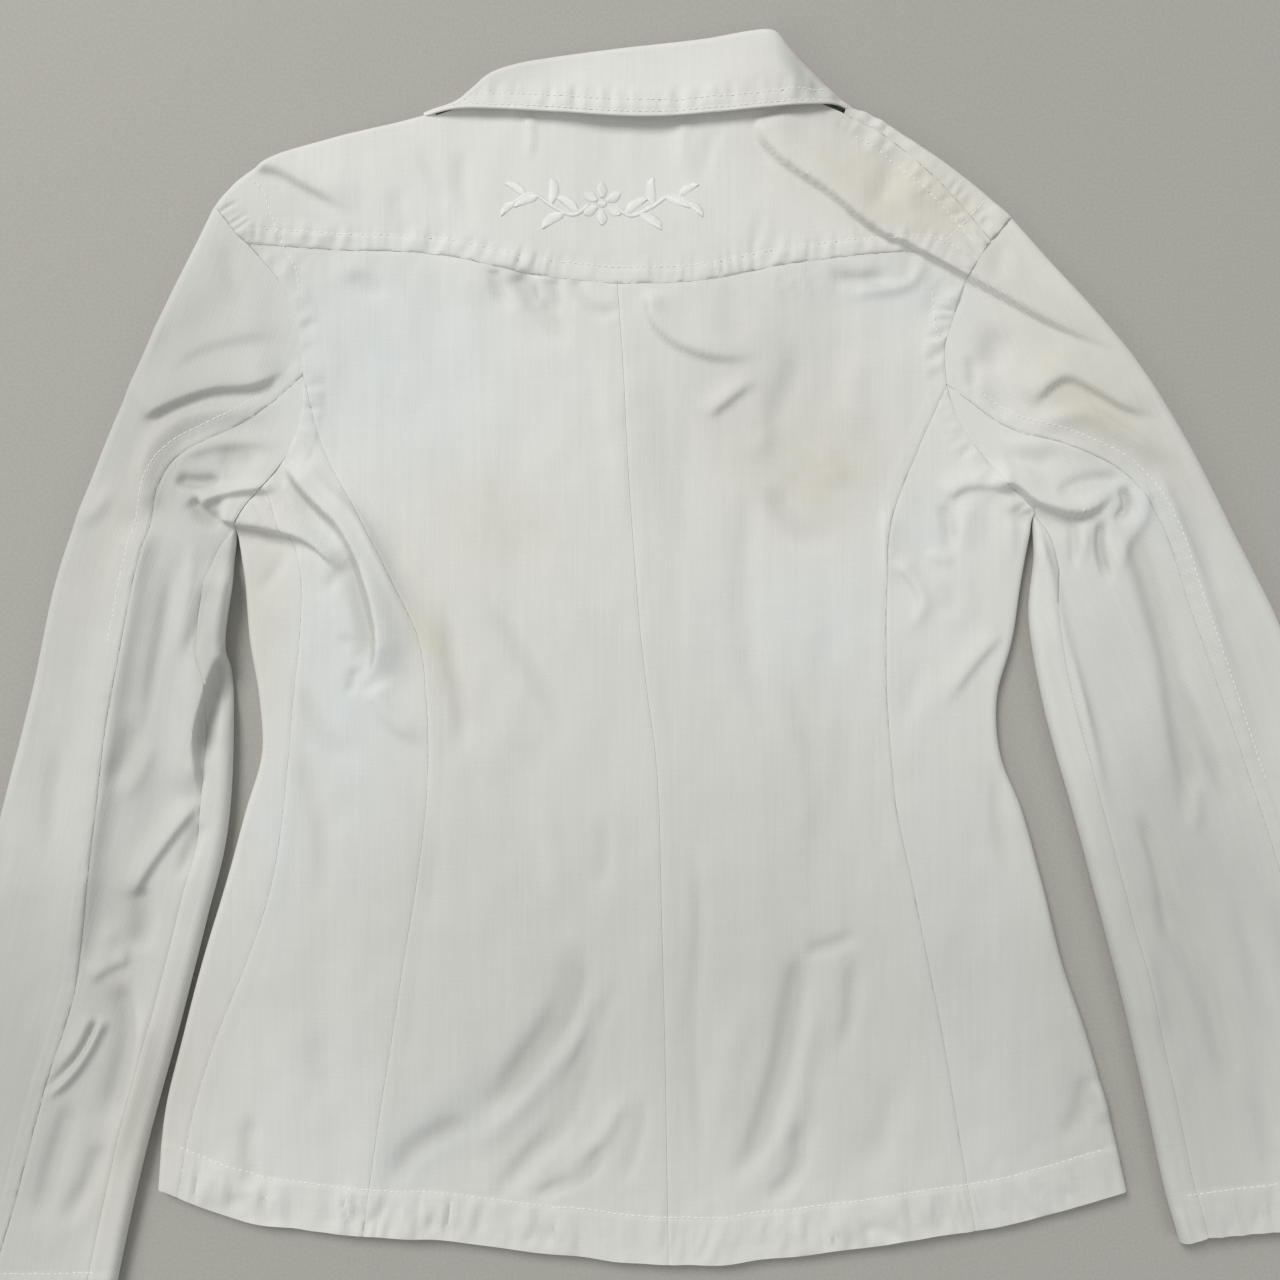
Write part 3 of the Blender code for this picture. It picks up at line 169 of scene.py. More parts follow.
# The folds that show. Each row: path in plan, rise (a trough is below zero), width on the left of the path
# and on its right, the share of the path over which it grows and fades, and how far it leans over its steep side.
FOLDS = (
    # The crease across the right shoulder, with the pleats that run into it.
    (((62, 277), (65, 267), (77, 254), (97, 241), (112, 229), (127, 217), (144, 210), (157, 203), (174, 194),
      (192, 184), (209, 174), (232, 162), (262, 151)), 4.8, 14.0, 2.3, 0.04, 0.25, 2.6),
    (((58, 268), (70, 248), (92, 230), (118, 212)), -1.0, 5.0, 9.0, 0.2, 0.3, 0.0),
    (((140, 263), (134, 250), (127, 234), (122, 222)), -1.7, 5.0, 6.0, 0.3, 0.3, 0.0),
    (((149, 246), (142, 234), (138, 222)), 1.3, 6.0, 6.0, 0.4, 0.4, 0.0),
    (((110, 229), (115, 217), (121, 205)), -1.2, 1.9, 2.2, 0.2, 0.4, 0.0),
    (((116, 225), (122, 215), (128, 205)), -1.3, 1.8, 2.0, 0.2, 0.4, 0.0),
    (((122, 221), (128, 212), (135, 207)), -1.2, 1.8, 1.9, 0.2, 0.4, 0.0),
    (((64, 232), (62, 216), (57, 197)), -1.0, 3.0, 3.6, 0.5, 0.2, 0.0),
    (((70, 222), (72, 210), (66, 196)), -0.9, 2.6, 3.0, 0.5, 0.2, 0.0),
    # Under the right end of the yoke seam.
    (((98, 193), (112, 190.5), (134, 192)), -2.5, 3.6, 4.0, 0.3, 0.3, 0.0),
    (((145, 206), (148, 197), (140, 187), (121, 184), (108, 180)), 2.0, 3.4, 3.0, 0.2, 0.4, 0.0),
    (((160, 190), (156, 178), (148, 168)), -1.2, 5.0, 5.0, 0.4, 0.4, 0.0),
    # The right sleeve's head.
    (((193, 166), (187, 153), (183, 139)), -2.8, 8.0, 8.0, 0.35, 0.4, 0.0),
    (((193, 212), (190, 200), (187, 189)), -1.5, 5.0, 6.0, 0.4, 0.3, 0.0),
    (((172, 150), (176, 141), (174, 130)), -1.8, 3.0, 3.0, 0.3, 0.4, 0.0),
    (((178, 134), (188, 126), (195, 115)), -1.5, 4.0, 4.0, 0.4, 0.4, 0.0),
    (((204, 122), (211, 133), (224, 140), (240, 133), (256, 124), (276, 118)), 4.1, 11.0, 2.8, 0.15, 0.3, 1.2),
    (((203, 115), (220, 117), (236, 119), (251, 111), (268, 101), (285, 92)), 2.8, 4.0, 6.0, 0.2, 0.3, 0.0),
    (((186, 104), (206, 103), (226, 102), (244, 92)), 1.4, 4.0, 5.0, 0.3, 0.3, 0.0),
    (((188, 96), (205, 94), (222, 95)), -1.6, 5.0, 5.0, 0.3, 0.3, 0.0),
    # The right underarm.
    (((188, 68), (204, 66), (222, 62), (240, 64)), -2.0, 4.0, 5.0, 0.2, 0.3, 0.0),
    (((184, 86), (199, 83), (209, 75), (219, 71), (231, 68.5), (242, 73), (251, 82)), 5.8, 9.0, 2.3, 0.14, 0.30, 1.5),
    (((219, 75), (230, 82), (244, 85), (257, 84)), -2.8, 3.6, 3.4, 0.2, 0.3, 0.0),
    (((254, 82), (256, 70), (249, 61)), -3.2, 2.6, 2.6, 0.2, 0.3, 0.0),
    (((262, 84), (265, 68), (256, 50), (250, 30)), 2.4, 4.0, 5.0, 0.2, 0.4, 0.0),
    (((244, 64), (243, 48), (248, 27)), -3.4, 2.6, 2.6, 0.15, 0.4, 0.0),
    (((235, 64), (234, 50), (233, 38)), 1.6, 3.2, 3.2, 0.3, 0.5, 0.0),
    (((229, 64), (229, 48), (228, 32)), -1.6, 2.8, 2.8, 0.2, 0.5, 0.0),
    (((159, 74), (170, 82), (184, 83), (198, 80)), 2.9, 7.0, 2.6, 0.2, 0.2, 1.2),
    (((160, 73), (164, 58), (165, 42)), -2.2, 3.4, 3.8, 0.2, 0.5, 0.0),
    (((174, 76), (171, 60), (170, 44)), 1.9, 5.0, 4.0, 0.3, 0.5, 0.0),
    (((185, 78), (184, 60), (186, 44)), -1.0, 4.0, 4.0, 0.2, 0.5, 0.0),
    (((196, 76), (196, 60), (198, 40)), 1.4, 3.0, 4.0, 0.2, 0.5, 0.0),
    (((131, 74), (129, 52), (132, 24)), 1.9, 7.0, 2.4, 0.3, 0.4, 0.0),
    (((133, 43), (145, 30), (149, 20), (142, 3)), 2.4, 5.0, 2.8, 0.2, 0.4, 0.0),
    (((150, 45), (160, 43), (166, 41)), 1.4, 4.0, 3.0, 0.3, 0.3, 0.0),
    (((157, 31), (164, 24), (160, 10)), -1.2, 5.0, 5.0, 0.4, 0.4, 0.0),
    (((192, 6), (176, -12), (158, -36)), 2.5, 3.0, 8.0, 0.25, 0.4, 0.0),
    (((152, -8), (144, -26), (140, -50)), -0.9, 6.0, 6.0, 0.4, 0.4, 0.0),
    # The right sleeve.
    (((206, 64), (215, 37), (221, 7), (231, -28), (240, -64), (248, -98)), 3.9, 3.4, 5.0, 0.12, 0.4, 0.0),
    (((214, 45), (220, 12), (227, -20), (232, -48)), -1.8, 3.0, 3.0, 0.3, 0.4, 0.0),
    (((252, 66), (262, 46), (270, 20), (278, -10), (284, -48), (288, -84), (282, -112)), -4.2, 7.0, 6.0, 0.1, 0.35, 0.0),
    (((283, -20), (294, -46), (304, -70), (311, -95)), -2.5, 4.5, 4.5, 0.3, 0.4, 0.0),
    (((262, -88), (270, -110), (276, -140), (279, -168)), -2.5, 3.6, 4.0, 0.2, 0.4, 0.0),
    (((291, -68), (292, -88), (290, -106)), 2.0, 4.0, 4.0, 0.4, 0.4, 0.0),
    (((268, 93), (280, 67), (291, 39), (303, 1), (316, -40), (327, -82)), 2.6, 5.0, 4.5, 0.1, 0.5, 0.0),
    (((283, 74), (296, 50), (306, 20)), -1.6, 6.0, 6.0, 0.3, 0.5, 0.0),
    (((274, -128), (286, -160), (299, -188), (306, -216), (311, -250)), -2.9, 5.0, 7.0, 0.2, 0.4, 0.0),
    (((262, -150), (268, -180), (276, -215)), 2.1, 6.0, 6.0, 0.4, 0.4, 0.0),
    (((300, -130), (312, -170), (322, -210)), 2.3, 8.0, 6.0, 0.4, 0.4, 0.0),
    (((330, -120), (340, -160), (346, -205)), -2.0, 6.0, 6.0, 0.4, 0.4, 0.0),
    (((318, -225), (330, -262), (334, -290)), -1.6, 5.0, 6.0, 0.4, 0.3, 0.0),
    # The left shoulder and the left sleeve's head.
    (((-206, 251), (-191, 249), (-176, 241), (-163, 234), (-148, 224)), 3.8, 13.0, 3.0, 0.12, 0.4, 0.0),
    (((-222, 212), (-216, 190), (-211, 168)), -1.3, 6.0, 5.0, 0.3, 0.4, 0.0),
    (((-252, 140), (-234, 153), (-213, 160), (-186, 163)), 1.8, 9.0, 3.4, 0.3, 0.3, 0.0),
    (((-272, 140), (-262, 156), (-246, 172)), 1.2, 7.0, 5.0, 0.4, 0.4, 0.0),
    (((-266, 117), (-245, 128), (-224, 135), (-204, 137), (-186, 145)), 5.0, 13.0, 3.6, 0.14, 0.2, 2.4),
    (((-257, 66), (-261, 88), (-252, 107), (-234, 118), (-212, 121), (-188, 124)), 3.4, 5.0, 7.0, 0.1, 0.3, 0.0),
    (((-244, 96), (-222, 103), (-200, 104), (-188, 97)), 1.8, 6.0, 3.0, 0.2, 0.3, 0.0),
    (((-224, 97), (-208, 95), (-199, 91)), -1.8, 5.0, 6.0, 0.3, 0.4, 0.0),
    # The left underarm.
    (((-245, 85), (-234, 83.5), (-219, 85)), -3.8, 3.4, 3.0, 0.2, 0.3, 0.0),
    (((-234, 72), (-223, 77), (-206, 80.5), (-188, 80)), 4.2, 3.6, 2.6, 0.08, 0.35, 1.2),
    (((-236, 76), (-229, 66), (-219, 63)), -4.0, 3.2, 4.5, 0.2, 0.3, 0.0),
    (((-224, 67), (-206, 63), (-190, 60), (-175, 55), (-163, 45), (-157, 34)), 5.6, 10.0, 2.3, 0.1, 0.2, 2.6),
    (((-218, 58), (-202, 55), (-188, 51), (-172, 44)), -1.8, 4.0, 5.0, 0.2, 0.4, 0.0),
    (((-188, 95), (-173, 75), (-158, 61), (-149, 46), (-142, 25), (-138, 5), (-138, -9), (-143, -23)),
     7.0, 12.0, 2.6, 0.12, 0.16, 0.0),
    (((-186, 84), (-177, 73), (-164, 57), (-155, 43), (-148, 24), (-143, 3), (-143, -10), (-148, -22)),
     -3.6, 3.0, 6.5, 0.15, 0.25, 0.0),
    (((-179, 97), (-165, 80), (-150, 66), (-138, 44), (-127, 20), (-120, -4)), 1.8, 4.0, 3.0, 0.3, 0.4, 0.0),
    (((-143, -24), (-135, -37), (-125, -47), (-110, -54)), 2.9, 9.0, 4.0, 0.15, 0.4, 0.0),
    (((-150, -14), (-152, -24), (-156, -32)), -1.6, 2.6, 3.0, 0.2, 0.5, 0.0),
    (((-178, -20), (-172, -40), (-160, -57), (-142, -64)), -1.7, 6.0, 6.0, 0.3, 0.4, 0.0),
    (((-181, -48), (-174, -78), (-167, -112), (-170, -150)), -1.6, 6.0, 6.0, 0.3, 0.4, 0.0),
    (((-160, 2), (-150, -3), (-146, -12)), -1.2, 3.4, 3.4, 0.3, 0.3, 0.0),
    (((-203, 22), (-192, 38), (-186, 50)), -1.0, 4.0, 4.0, 0.4, 0.4, 0.0),
    (((-168, 24), (-160, 34), (-156, 42)), -1.2, 4.0, 4.0, 0.4, 0.3, 0.0),
    # The left sleeve.
    (((-258, 62), (-263, 42), (-267, 16), (-273, -12), (-279, -52), (-285, -92), (-292, -140), (-297, -168),
      (-298, -196)), 4.8, 6.5, 14.0, 0.06, 0.2, 0.0),
    (((-246, 42), (-251, 10), (-257, -22), (-262, -60)), -2.3, 3.6, 4.0, 0.25, 0.4, 0.0),
    (((-237, 60), (-236, 36), (-240, 10), (-247, -22)), 1.8, 4.0, 4.0, 0.3, 0.4, 0.0),
    (((-226, 34), (-232, 10), (-240, -16)), -2.8, 3.6, 3.2, 0.3, 0.4, 0.0),
    (((-220, 44), (-219, 22), (-223, -3), (-231, -26), (-237, -50), (-236, -66), (-232, -84)), 6.2, 2.4, 12.0,
     0.12, 0.14, 3.0),
    (((-212, 22), (-215, -2), (-222, -26), (-229, -50), (-229, -68)), -5.1, 5.0, 4.0, 0.2, 0.2, 0.0),
    (((-264, -38), (-270, -60), (-282, -82)), -1.8, 5.0, 5.0, 0.3, 0.4, 0.0),
    (((-253, -46), (-262, -70), (-276, -88)), 1.6, 4.0, 5.0, 0.4, 0.4, 0.0),
    (((-232, -84), (-246, -101), (-259, -119), (-270, -138)), 3.7, 3.0, 7.0, 0.15, 0.25, 1.0),
    (((-229, -94), (-237, -112), (-243, -128)), -2.3, 4.0, 4.0, 0.2, 0.4, 0.0),
    (((-264, -128), (-261, -146), (-265, -166)), -3.0, 6.0, 7.0, 0.2, 0.3, 0.0),
    (((-266, -166), (-279, -171), (-291, -180)), 2.5, 3.0, 6.0, 0.2, 0.3, 0.0),
    (((-277, -146), (-280, -160), (-284, -172)), 1.7, 5.0, 5.0, 0.4, 0.4, 0.0),
    (((-281, -199), (-289, -215), (-299, -229), (-314, -242)), 3.4, 2.6, 3.0, 0.08, 0.25, 0.0),
    (((-285, -199), (-294, -217), (-304, -229), (-315, -238)), -2.5, 2.2, 2.2, 0.08, 0.25, 0.0),
    (((-288, -198), (-298, -216), (-310, -228)), 1.8, 2.4, 5.0, 0.1, 0.4, 0.0),
    (((-273, -178), (-270, -205), (-275, -232), (-282, -258)), -3.4, 5.0, 6.5, 0.15, 0.3, 0.0),
    (((-261, -190), (-262, -220), (-272, -256), (-281, -290)), 2.3, 6.0, 5.0, 0.2, 0.4, 0.0),
    (((-283, -262), (-291, -285), (-306, -312)), -2.3, 5.0, 5.0, 0.2, 0.4, 0.0),
    (((-298, -240), (-310, -276), (-318, -310)), -2.3, 6.0, 5.0, 0.2, 0.3, 0.0),
    (((-332, -60), (-338, -100), (-344, -150)), -1.6, 7.0, 7.0, 0.4, 0.4, 0.0),
    (((-305, -40), (-309, -80), (-312, -130)), -1.7, 6.0, 6.0, 0.4, 0.4, 0.0),
    (((-300, 60), (-288, 66), (-276, 82)), 1.6, 6.0, 4.0, 0.4, 0.4, 0.0),
    # The upper back.
    (((-66, 194), (-58, 183), (-48, 170), (-37, 152)), -3.4, 5.0, 5.5, 0.1, 0.4, 0.0),
    (((-77, 196), (-74, 184), (-68, 172)), -2.1, 2.6, 3.2, 0.1, 0.5, 0.0),
    (((-45, 191), (-43, 180), (-44, 170)), -2.0, 2.4, 2.8, 0.1, 0.5, 0.0),
    (((-35, 191), (-30, 180), (-21, 173), (-8, 176)), -2.1, 3.0, 3.0, 0.1, 0.3, 0.0),
    (((-52, 192), (-52, 182), (-55, 172)), 1.7, 2.6, 2.8, 0.1, 0.5, 0.0),
    (((4, 186), (8, 169), (21, 157), (45, 150), (66, 152)), 3.4, 9.0, 2.8, 0.1, 0.35, 0.0),
    (((33, 117), (48, 129), (62, 140)), 3.2, 6.0, 3.0, 0.3, 0.4, 0.0),
    (((76, 162), (80, 142), (70, 118), (68, 96)), -1.7, 7.0, 7.0, 0.3, 0.4, 0.0),
    (((71, 84), (74, 70), (85, 57), (104, 47)), -2.4, 6.0, 6.0, 0.3, 0.4, 0.0),
    (((92, 108), (100, 92), (104, 76)), 1.5, 7.0, 7.0, 0.4, 0.4, 0.0),
    (((60, 132), (66, 112), (58, 92)), 1.8, 6.0, 6.0, 0.4, 0.4, 0.0),
    (((-152, 196), (-146, 188), (-132, 182)), -1.7, 6.0, 5.0, 0.3, 0.4, 0.0),
    (((-170, 176), (-164, 152), (-160, 128)), 1.4, 7.0, 7.0, 0.4, 0.4, 0.0),
    (((-128, 240), (-126, 224), (-120, 208)), -1.3, 4.0, 6.0, 0.3, 0.3, 0.0),
    (((-92, 262), (-94, 238), (-88, 214)), -1.4, 4.0, 5.0, 0.3, 0.4, 0.0),
    (((-118, 262), (-108, 240), (-104, 222)), -1.3, 5.0, 5.0, 0.4, 0.4, 0.0),
    (((-58, 276), (-57, 262), (-60, 250)), 1.3, 2.6, 3.2, 0.1, 0.5, 0.0),
    (((24, 274), (22, 260), (26, 244)), 1.3, 3.0, 4.0, 0.1, 0.5, 0.0),
    (((40, 270), (34, 252), (30, 236)), -1.1, 4.0, 5.0, 0.2, 0.5, 0.0),
    # The middle of the back.
    (((6, 170), (12, 110), (18, 40), (20, -30)), -1.3, 5.0, 9.0, 0.3, 0.4, 0.0),
    (((80, -20), (88, -50), (93, -90)), -1.6, 5.0, 6.0, 0.3, 0.4, 0.0),
    (((-20, 160), (-14, 110), (-8, 60)), 1.2, 7.0, 6.0, 0.4, 0.4, 0.0),
    (((120, 160), (112, 130), (118, 96)), 1.4, 8.0, 6.0, 0.4, 0.4, 0.0),
    (((-60, -70), (-46, -110), (-42, -150)), 1.5, 9.0, 6.0, 0.4, 0.4, 0.0),
    (((-120, -60), (-112, -110), (-118, -160)), -1.2, 8.0, 8.0, 0.4, 0.4, 0.0),
    (((-104, 22), (-100, -10), (-94, -44), (-98, -70)), -2.0, 5.0, 5.0, 0.3, 0.4, 0.0),
    (((-84, 26), (-62, -8), (-44, -40), (-41, -64)), -2.0, 5.0, 6.0, 0.3, 0.4, 0.0),
    (((-60, 60), (-40, 24), (-26, -10)), 1.5, 9.0, 8.0, 0.4, 0.4, 0.0),
    (((61, 96), (54, 40), (62, -38), (88, -64)), -1.7, 7.0, 7.0, 0.3, 0.4, 0.0),
    (((26, 130), (22, 80), (26, 30)), -1.2, 5.0, 5.0, 0.3, 0.4, 0.0),
    (((100, 0), (96, -50), (90, -110)), 1.4, 9.0, 9.0, 0.4, 0.4, 0.0),
    (((-20, -92), (-19, -112), (-23, -136)), -1.5, 4.0, 5.0, 0.3, 0.4, 0.0),
    (((27, -96), (31, -150), (27, -206), (31, -262), (33, -300)), -1.5, 4.0, 4.0, 0.2, 0.3, 0.0),
    # The lower back, above the hem.
    (((-32, -156), (-35, -180), (-43, -201), (-57, -219), (-70, -237), (-88, -253)), -4.1, 6.6, 7.2, 0.2, 0.3, 0.0),
    (((-86, -252), (-108, -262), (-122, -272), (-130, -292)), -2.8, 5.5, 6.6, 0.3, 0.3, 0.0),
    (((-16, -176), (-27, -204), (-50, -230), (-74, -256), (-96, -276)), 2.7, 7.7, 6.6, 0.3, 0.3, 0.0),
    (((-10, -178), (-22, -200), (-33, -232), (-43, -257), (-60, -275), (-78, -298)), -3.1, 5.5, 5.5, 0.2, 0.2, 0.0),
    (((-17, -266), (-28, -281), (-44, -289), (-60, -296)), -2.8, 3.3, 3.7, 0.2, 0.3, 0.0),
    (((-6, -236), (-20, -262), (-40, -280)), 2.0, 4.4, 5.5, 0.3, 0.4, 0.0),
    (((3, -238), (-3, -268), (-11, -290)), -2.1, 3.7, 3.7, 0.3, 0.3, 0.0),
    (((86, -163), (81, -189), (76, -216), (68, -246), (60, -270), (44, -291)), -3.8, 5.5, 6.1, 0.15, 0.25, 0.0),
    (((96, -176), (88, -214), (80, -250), (64, -286)), 2.2, 6.6, 5.5, 0.3, 0.3, 0.0),
    (((86, -252), (83, -279), (66, -299)), -2.8, 4.4, 5.0, 0.25, 0.25, 0.0),
    (((113, -162), (111, -198), (104, -224)), -2.0, 4.4, 4.4, 0.3, 0.4, 0.0),
    (((84, -166), (99, -162), (118, -154)), -1.7, 4.0, 4.0, 0.3, 0.4, 0.0),
    (((56, -180), (46, -226), (38, -270)), 1.5, 7.7, 7.7, 0.4, 0.4, 0.0),
    (((140, -220), (128, -258), (116, -290)), -1.5, 7.7, 7.7, 0.4, 0.4, 0.0),
    (((-205, -248), (-207, -268), (-206, -292)), -2.4, 4.0, 4.0, 0.3, 0.2, 0.0),
    (((-164, -200), (-170, -226), (-160, -246)), -1.4, 7.7, 7.7, 0.4, 0.4, 0.0),
    (((188, -62), (190, -98), (198, -134)), -1.7, 4.4, 5.5, 0.3, 0.4, 0.0),
    (((236, -226), (233, -248), (222, -268)), -2.5, 5.5, 5.5, 0.3, 0.4, 0.0),
    (((242, -232), (248, -256)), 2.8, 5.5, 5.5, 0.4, 0.4, 0.0),
)

# Seams and how the cloth lies at them. Columns: path, groove depth and width, the side of the path where the
# seam allowance lies (1 left, -1 right, 0 both), and how much and how far it thickens the cloth.
SEAMS = (
    # path, groove, groove width, ridge side, ridge, ridge width
    ("yoke_seam", 0.42, 0.9, 1, 0.42, 8.0),
    ("centre", 0.34, 0.9, 1, 0.22, 7.0),
    ("left_princess", 0.34, 0.9, 1, 0.22, 7.0),
    ("right_princess", 0.34, 0.9, -1, 0.22, 7.0),
    ("left_side", 0.34, 0.9, 1, 0.22, 7.0),
    ("left_armhole", 0.40, 0.9, 1, 0.35, 11.0),
    ("right_armhole", 0.40, 0.9, -1, 0.35, 11.0),
    ("front_yoke_seam", 0.45, 0.9, -1, 0.45, 8.0),
    ("left_back_seam", 0.36, 0.9, -1, 0.3, 8.0),
    ("right_back_seam", 0.40, 0.9, 1, 0.4, 8.0),
    ("left_inner_seam", 0.36, 0.9, 1, 0.2, 6.0),
    ("right_inner_seam", 0.36, 0.9, -1, 0.2, 6.0),
    ("hem", 0.0, 0.9, 0, 0.55, 25.0),
    ("left_cuff", 0.0, 0.9, 0, 0.55, 29.0),
    ("right_cuff", 0.0, 0.9, 0, 0.55, 27.0),
)
BODY_SEAMS = ("yoke_seam", "centre", "left_princess", "right_princess", "left_side", "left_armhole",
              "right_armhole", "front_yoke_seam", "hem")
BODY_ONLY = ("left_princess", "right_princess", "left_side")

# Puckers: short ripples across the run of a seam or hem. Columns: path, side of it, where they start and stop,
# how high they are, how far apart, and a number that makes each row different.
PUCKERS = (
    # path, side, start, stop, rise, pitch, seed
    ("yoke_seam", 1, 0.0, 15.0, 1.60, 4.6, 11),
    ("yoke_seam", -1, 0.5, 24.0, 0.90, 8.0, 12),
    ("hem", 1, 0.0, 27.0, 2.70, 5.4, 13),
    ("hem", 1, 22.0, 46.0, 0.50, 9.0, 14),
    ("left_armhole", 1, 0.0, 12.0, 1.40, 5.0, 15),
    ("right_armhole", -1, 0.0, 12.0, 1.80, 4.8, 16),
    ("front_yoke_seam", -1, 0.0, 13.0, 2.30, 5.0, 17),
    ("front_yoke_seam", 1, 0.0, 9.0, 1.50, 5.0, 18),
    ("left_cuff", 1, 0.0, 31.0, 2.10, 6.0, 19),
    ("right_cuff", 1, 0.0, 29.0, 2.50, 5.6, 20),
    ("left_back_seam", -1, 0.0, 9.0, 0.50, 6.0, 21),
    ("right_back_seam", 1, 0.0, 9.0, 0.60, 5.5, 22),
)

# Rows of topstitching: the path and how far they sink into the cloth.
STITCH_GROOVES = (
    ("yoke_stitch", 0.30),
    ("hem_stitch", 0.35),
    ("left_armhole_stitch", 0.25),
    ("right_armhole_stitch", 0.25),
    ("front_yoke_stitch", 0.25),
    ("left_cuff_stitch", 0.35),
    ("right_cuff_stitch", 0.35),
    ("left_back_stitch", 0.25),
    ("right_back_stitch", 0.25),
)
BODY_STITCHES = ("yoke_stitch", "hem_stitch", "left_armhole_stitch", "right_armhole_stitch", "front_yoke_stitch")
YOKE_STITCH_OFFSET = 8.6
BACK_SEAM_STITCH_OFFSET = 7.6

# Soft tints of the worn white cloth, with painted shade. Columns: place, half length and half width, turn in degrees,
# and how much yellow, blue and grey is in it. Most of the grey is painted shade: darker towards the hem, over the
# sleeves, on the collar and along creases. The blue is painted shade in the trough at the lower left back.
TINTS = (
    # x, y, length, width, turn, yellow, blue, grey (mostly painted shade)
    (118.0, 242.0, 60.0, 26.0, -35.0, 0.50, 0.0, 0.14),
    (165.0, 222.0, 50.0, 22.0, -35.0, 0.38, 0.0, 0.06),
    (238.0, 140.0, 55.0, 30.0, -45.0, 0.48, 0.0, 0.16),
    (252.0, 105.0, 45.0, 12.0, -35.0, 0.60, 0.0, 0.15),
    (98.0, 86.0, 36.0, 30.0, 40.0, 0.50, 0.0, 0.06),
    (70.0, 96.0, 30.0, 22.0, 0.0, 0.28, 0.0, 0.0),
    (-80.0, 64.0, 38.0, 24.0, -20.0, 0.35, 0.0, 0.08),
    (-112.0, 6.0, 38.0, 11.0, -70.0, 0.65, 0.0, 0.0),
    (-198.0, 15.0, 50.0, 14.0, 90.0, 0.55, 0.0, 0.05),
    (-282.0, -184.0, 14.0, 9.0, 55.0, 1.0, 0.0, 0.15),
    (-262.0, -255.0, 60.0, 20.0, 70.0, 0.55, 0.0, 0.0),
    (-330.0, 60.0, 70.0, 14.0, 65.0, 0.35, 0.0, 0.0),
    (-270.0, 70.0, 60.0, 10.0, 65.0, 0.55, 0.0, 0.0),
    (-154.0, 160.0, 60.0, 52.0, 0.0, 0.0, 0.60, 0.15),
    (-110.0, 130.0, 60.0, 50.0, 0.0, 0.0, 0.35, 0.0),
    (-154.0, -30.0, 75.0, 30.0, 95.0, 0.0, 0.75, 0.0),
    (-190.0, -110.0, 40.0, 12.0, 90.0, 0.0, 0.65, 0.0),
    # Painted shade in blue and grey, in the trough at the lower left back.
    (-112.0, -262.0, 42.0, 17.0, 35.0, 0.0, 0.75, 0.18),
    (-70.0, -232.0, 46.0, 14.0, 35.0, 0.0, 0.45, 0.22),
    (-170.0, -240.0, 40.0, 22.0, 60.0, 0.0, 0.40, 0.0),
    (140.0, 186.0, 42.0, 16.0, -5.0, 0.0, 0.55, 0.10),
    (92.0, 5.0, 46.0, 34.0, 0.0, 0.0, 0.50, 0.0),
    (150.0, 60.0, 26.0, 20.0, 0.0, 0.0, 0.45, 0.0),
    (176.0, -180.0, 95.0, 24.0, 100.0, 0.0, 0.55, 0.05),
    (-240.0, 20.0, 60.0, 18.0, 75.0, 0.0, 0.55, 0.10),
    (-258.0, -60.0, 100.0, 22.0, 80.0, 0.0, 0.35, 0.42),
    (265.0, 72.0, 34.0, 16.0, -40.0, 0.0, 0.65, 0.0),
    (270.0, -60.0, 100.0, 26.0, -70.0, 0.0, 0.35, 0.10),
    # Mostly grey from here: painted shade, darker towards the hem, over the sleeves, on the collar, on the back below
    # the yoke and in narrow lines along creases.
    (90.0, -66.0, 60.0, 5.0, 88.0, 0.10, 0.0, 0.22),
    (0.0, -190.0, 260.0, 130.0, 0.0, 0.06, 0.0, 0.46),
    (300.0, -230.0, 150.0, 80.0, 90.0, 0.03, 0.0, 0.66),
    (270.0, -110.0, 110.0, 60.0, 90.0, 0.0, 0.0, 0.24),
    (300.0, 50.0, 110.0, 60.0, -60.0, 0.02, 0.0, 0.26),
    (0.0, -60.0, 300.0, 230.0, 0.0, 0.04, 0.0, 0.17),
    (-345.0, -260.0, 150.0, 75.0, 90.0, 0.05, 0.0, 0.85),
    (-320.0, 10.0, 150.0, 75.0, 75.0, 0.05, 0.0, 0.50),
    (-240.0, 152.0, 85.0, 46.0, 62.0, 0.10, 0.0, 0.62),
    (94.0, 298.0, 24.0, 18.0, -48.0, 0.0, 0.0, 0.95),
    (-70.0, 294.0, 30.0, 12.0, 22.0, 0.0, 0.0, 0.30),
    (150.0, -200.0, 110.0, 90.0, 80.0, 0.03, 0.0, 0.12),
    (70.0, 145.0, 54.0, 44.0, 0.0, 0.12, 0.0, 0.27),
    (-226.0, 0.0, 60.0, 9.0, 88.0, 0.10, 0.0, 0.45),
    (64.0, 130.0, 70.0, 60.0, 0.0, 0.0, 0.0, 0.08),
)

# Where the long seams meet the hem.
HEM_ENDS = {"left_side": -244.0, "left_princess": -146.5, "centre": 15.0, "right_princess": 177.0}

# Creases on the collar's fall. Columns: path in plan, rise, width.
COLLAR_CREASES = (
    (((69.0, 321.0), (74.0, 303.0), (80.0, 290.0)), 2.0, 6.0),
    (((84.0, 306.0), (88.0, 296.0), (92.0, 288.0)), -1.4, 4.0),
    (((94.0, 298.0), (97.0, 291.0), (101.0, 285.0)), 1.0, 3.5),
    (((-50.0, 306.0), (-46.0, 294.0)), -0.5, 6.0),
)

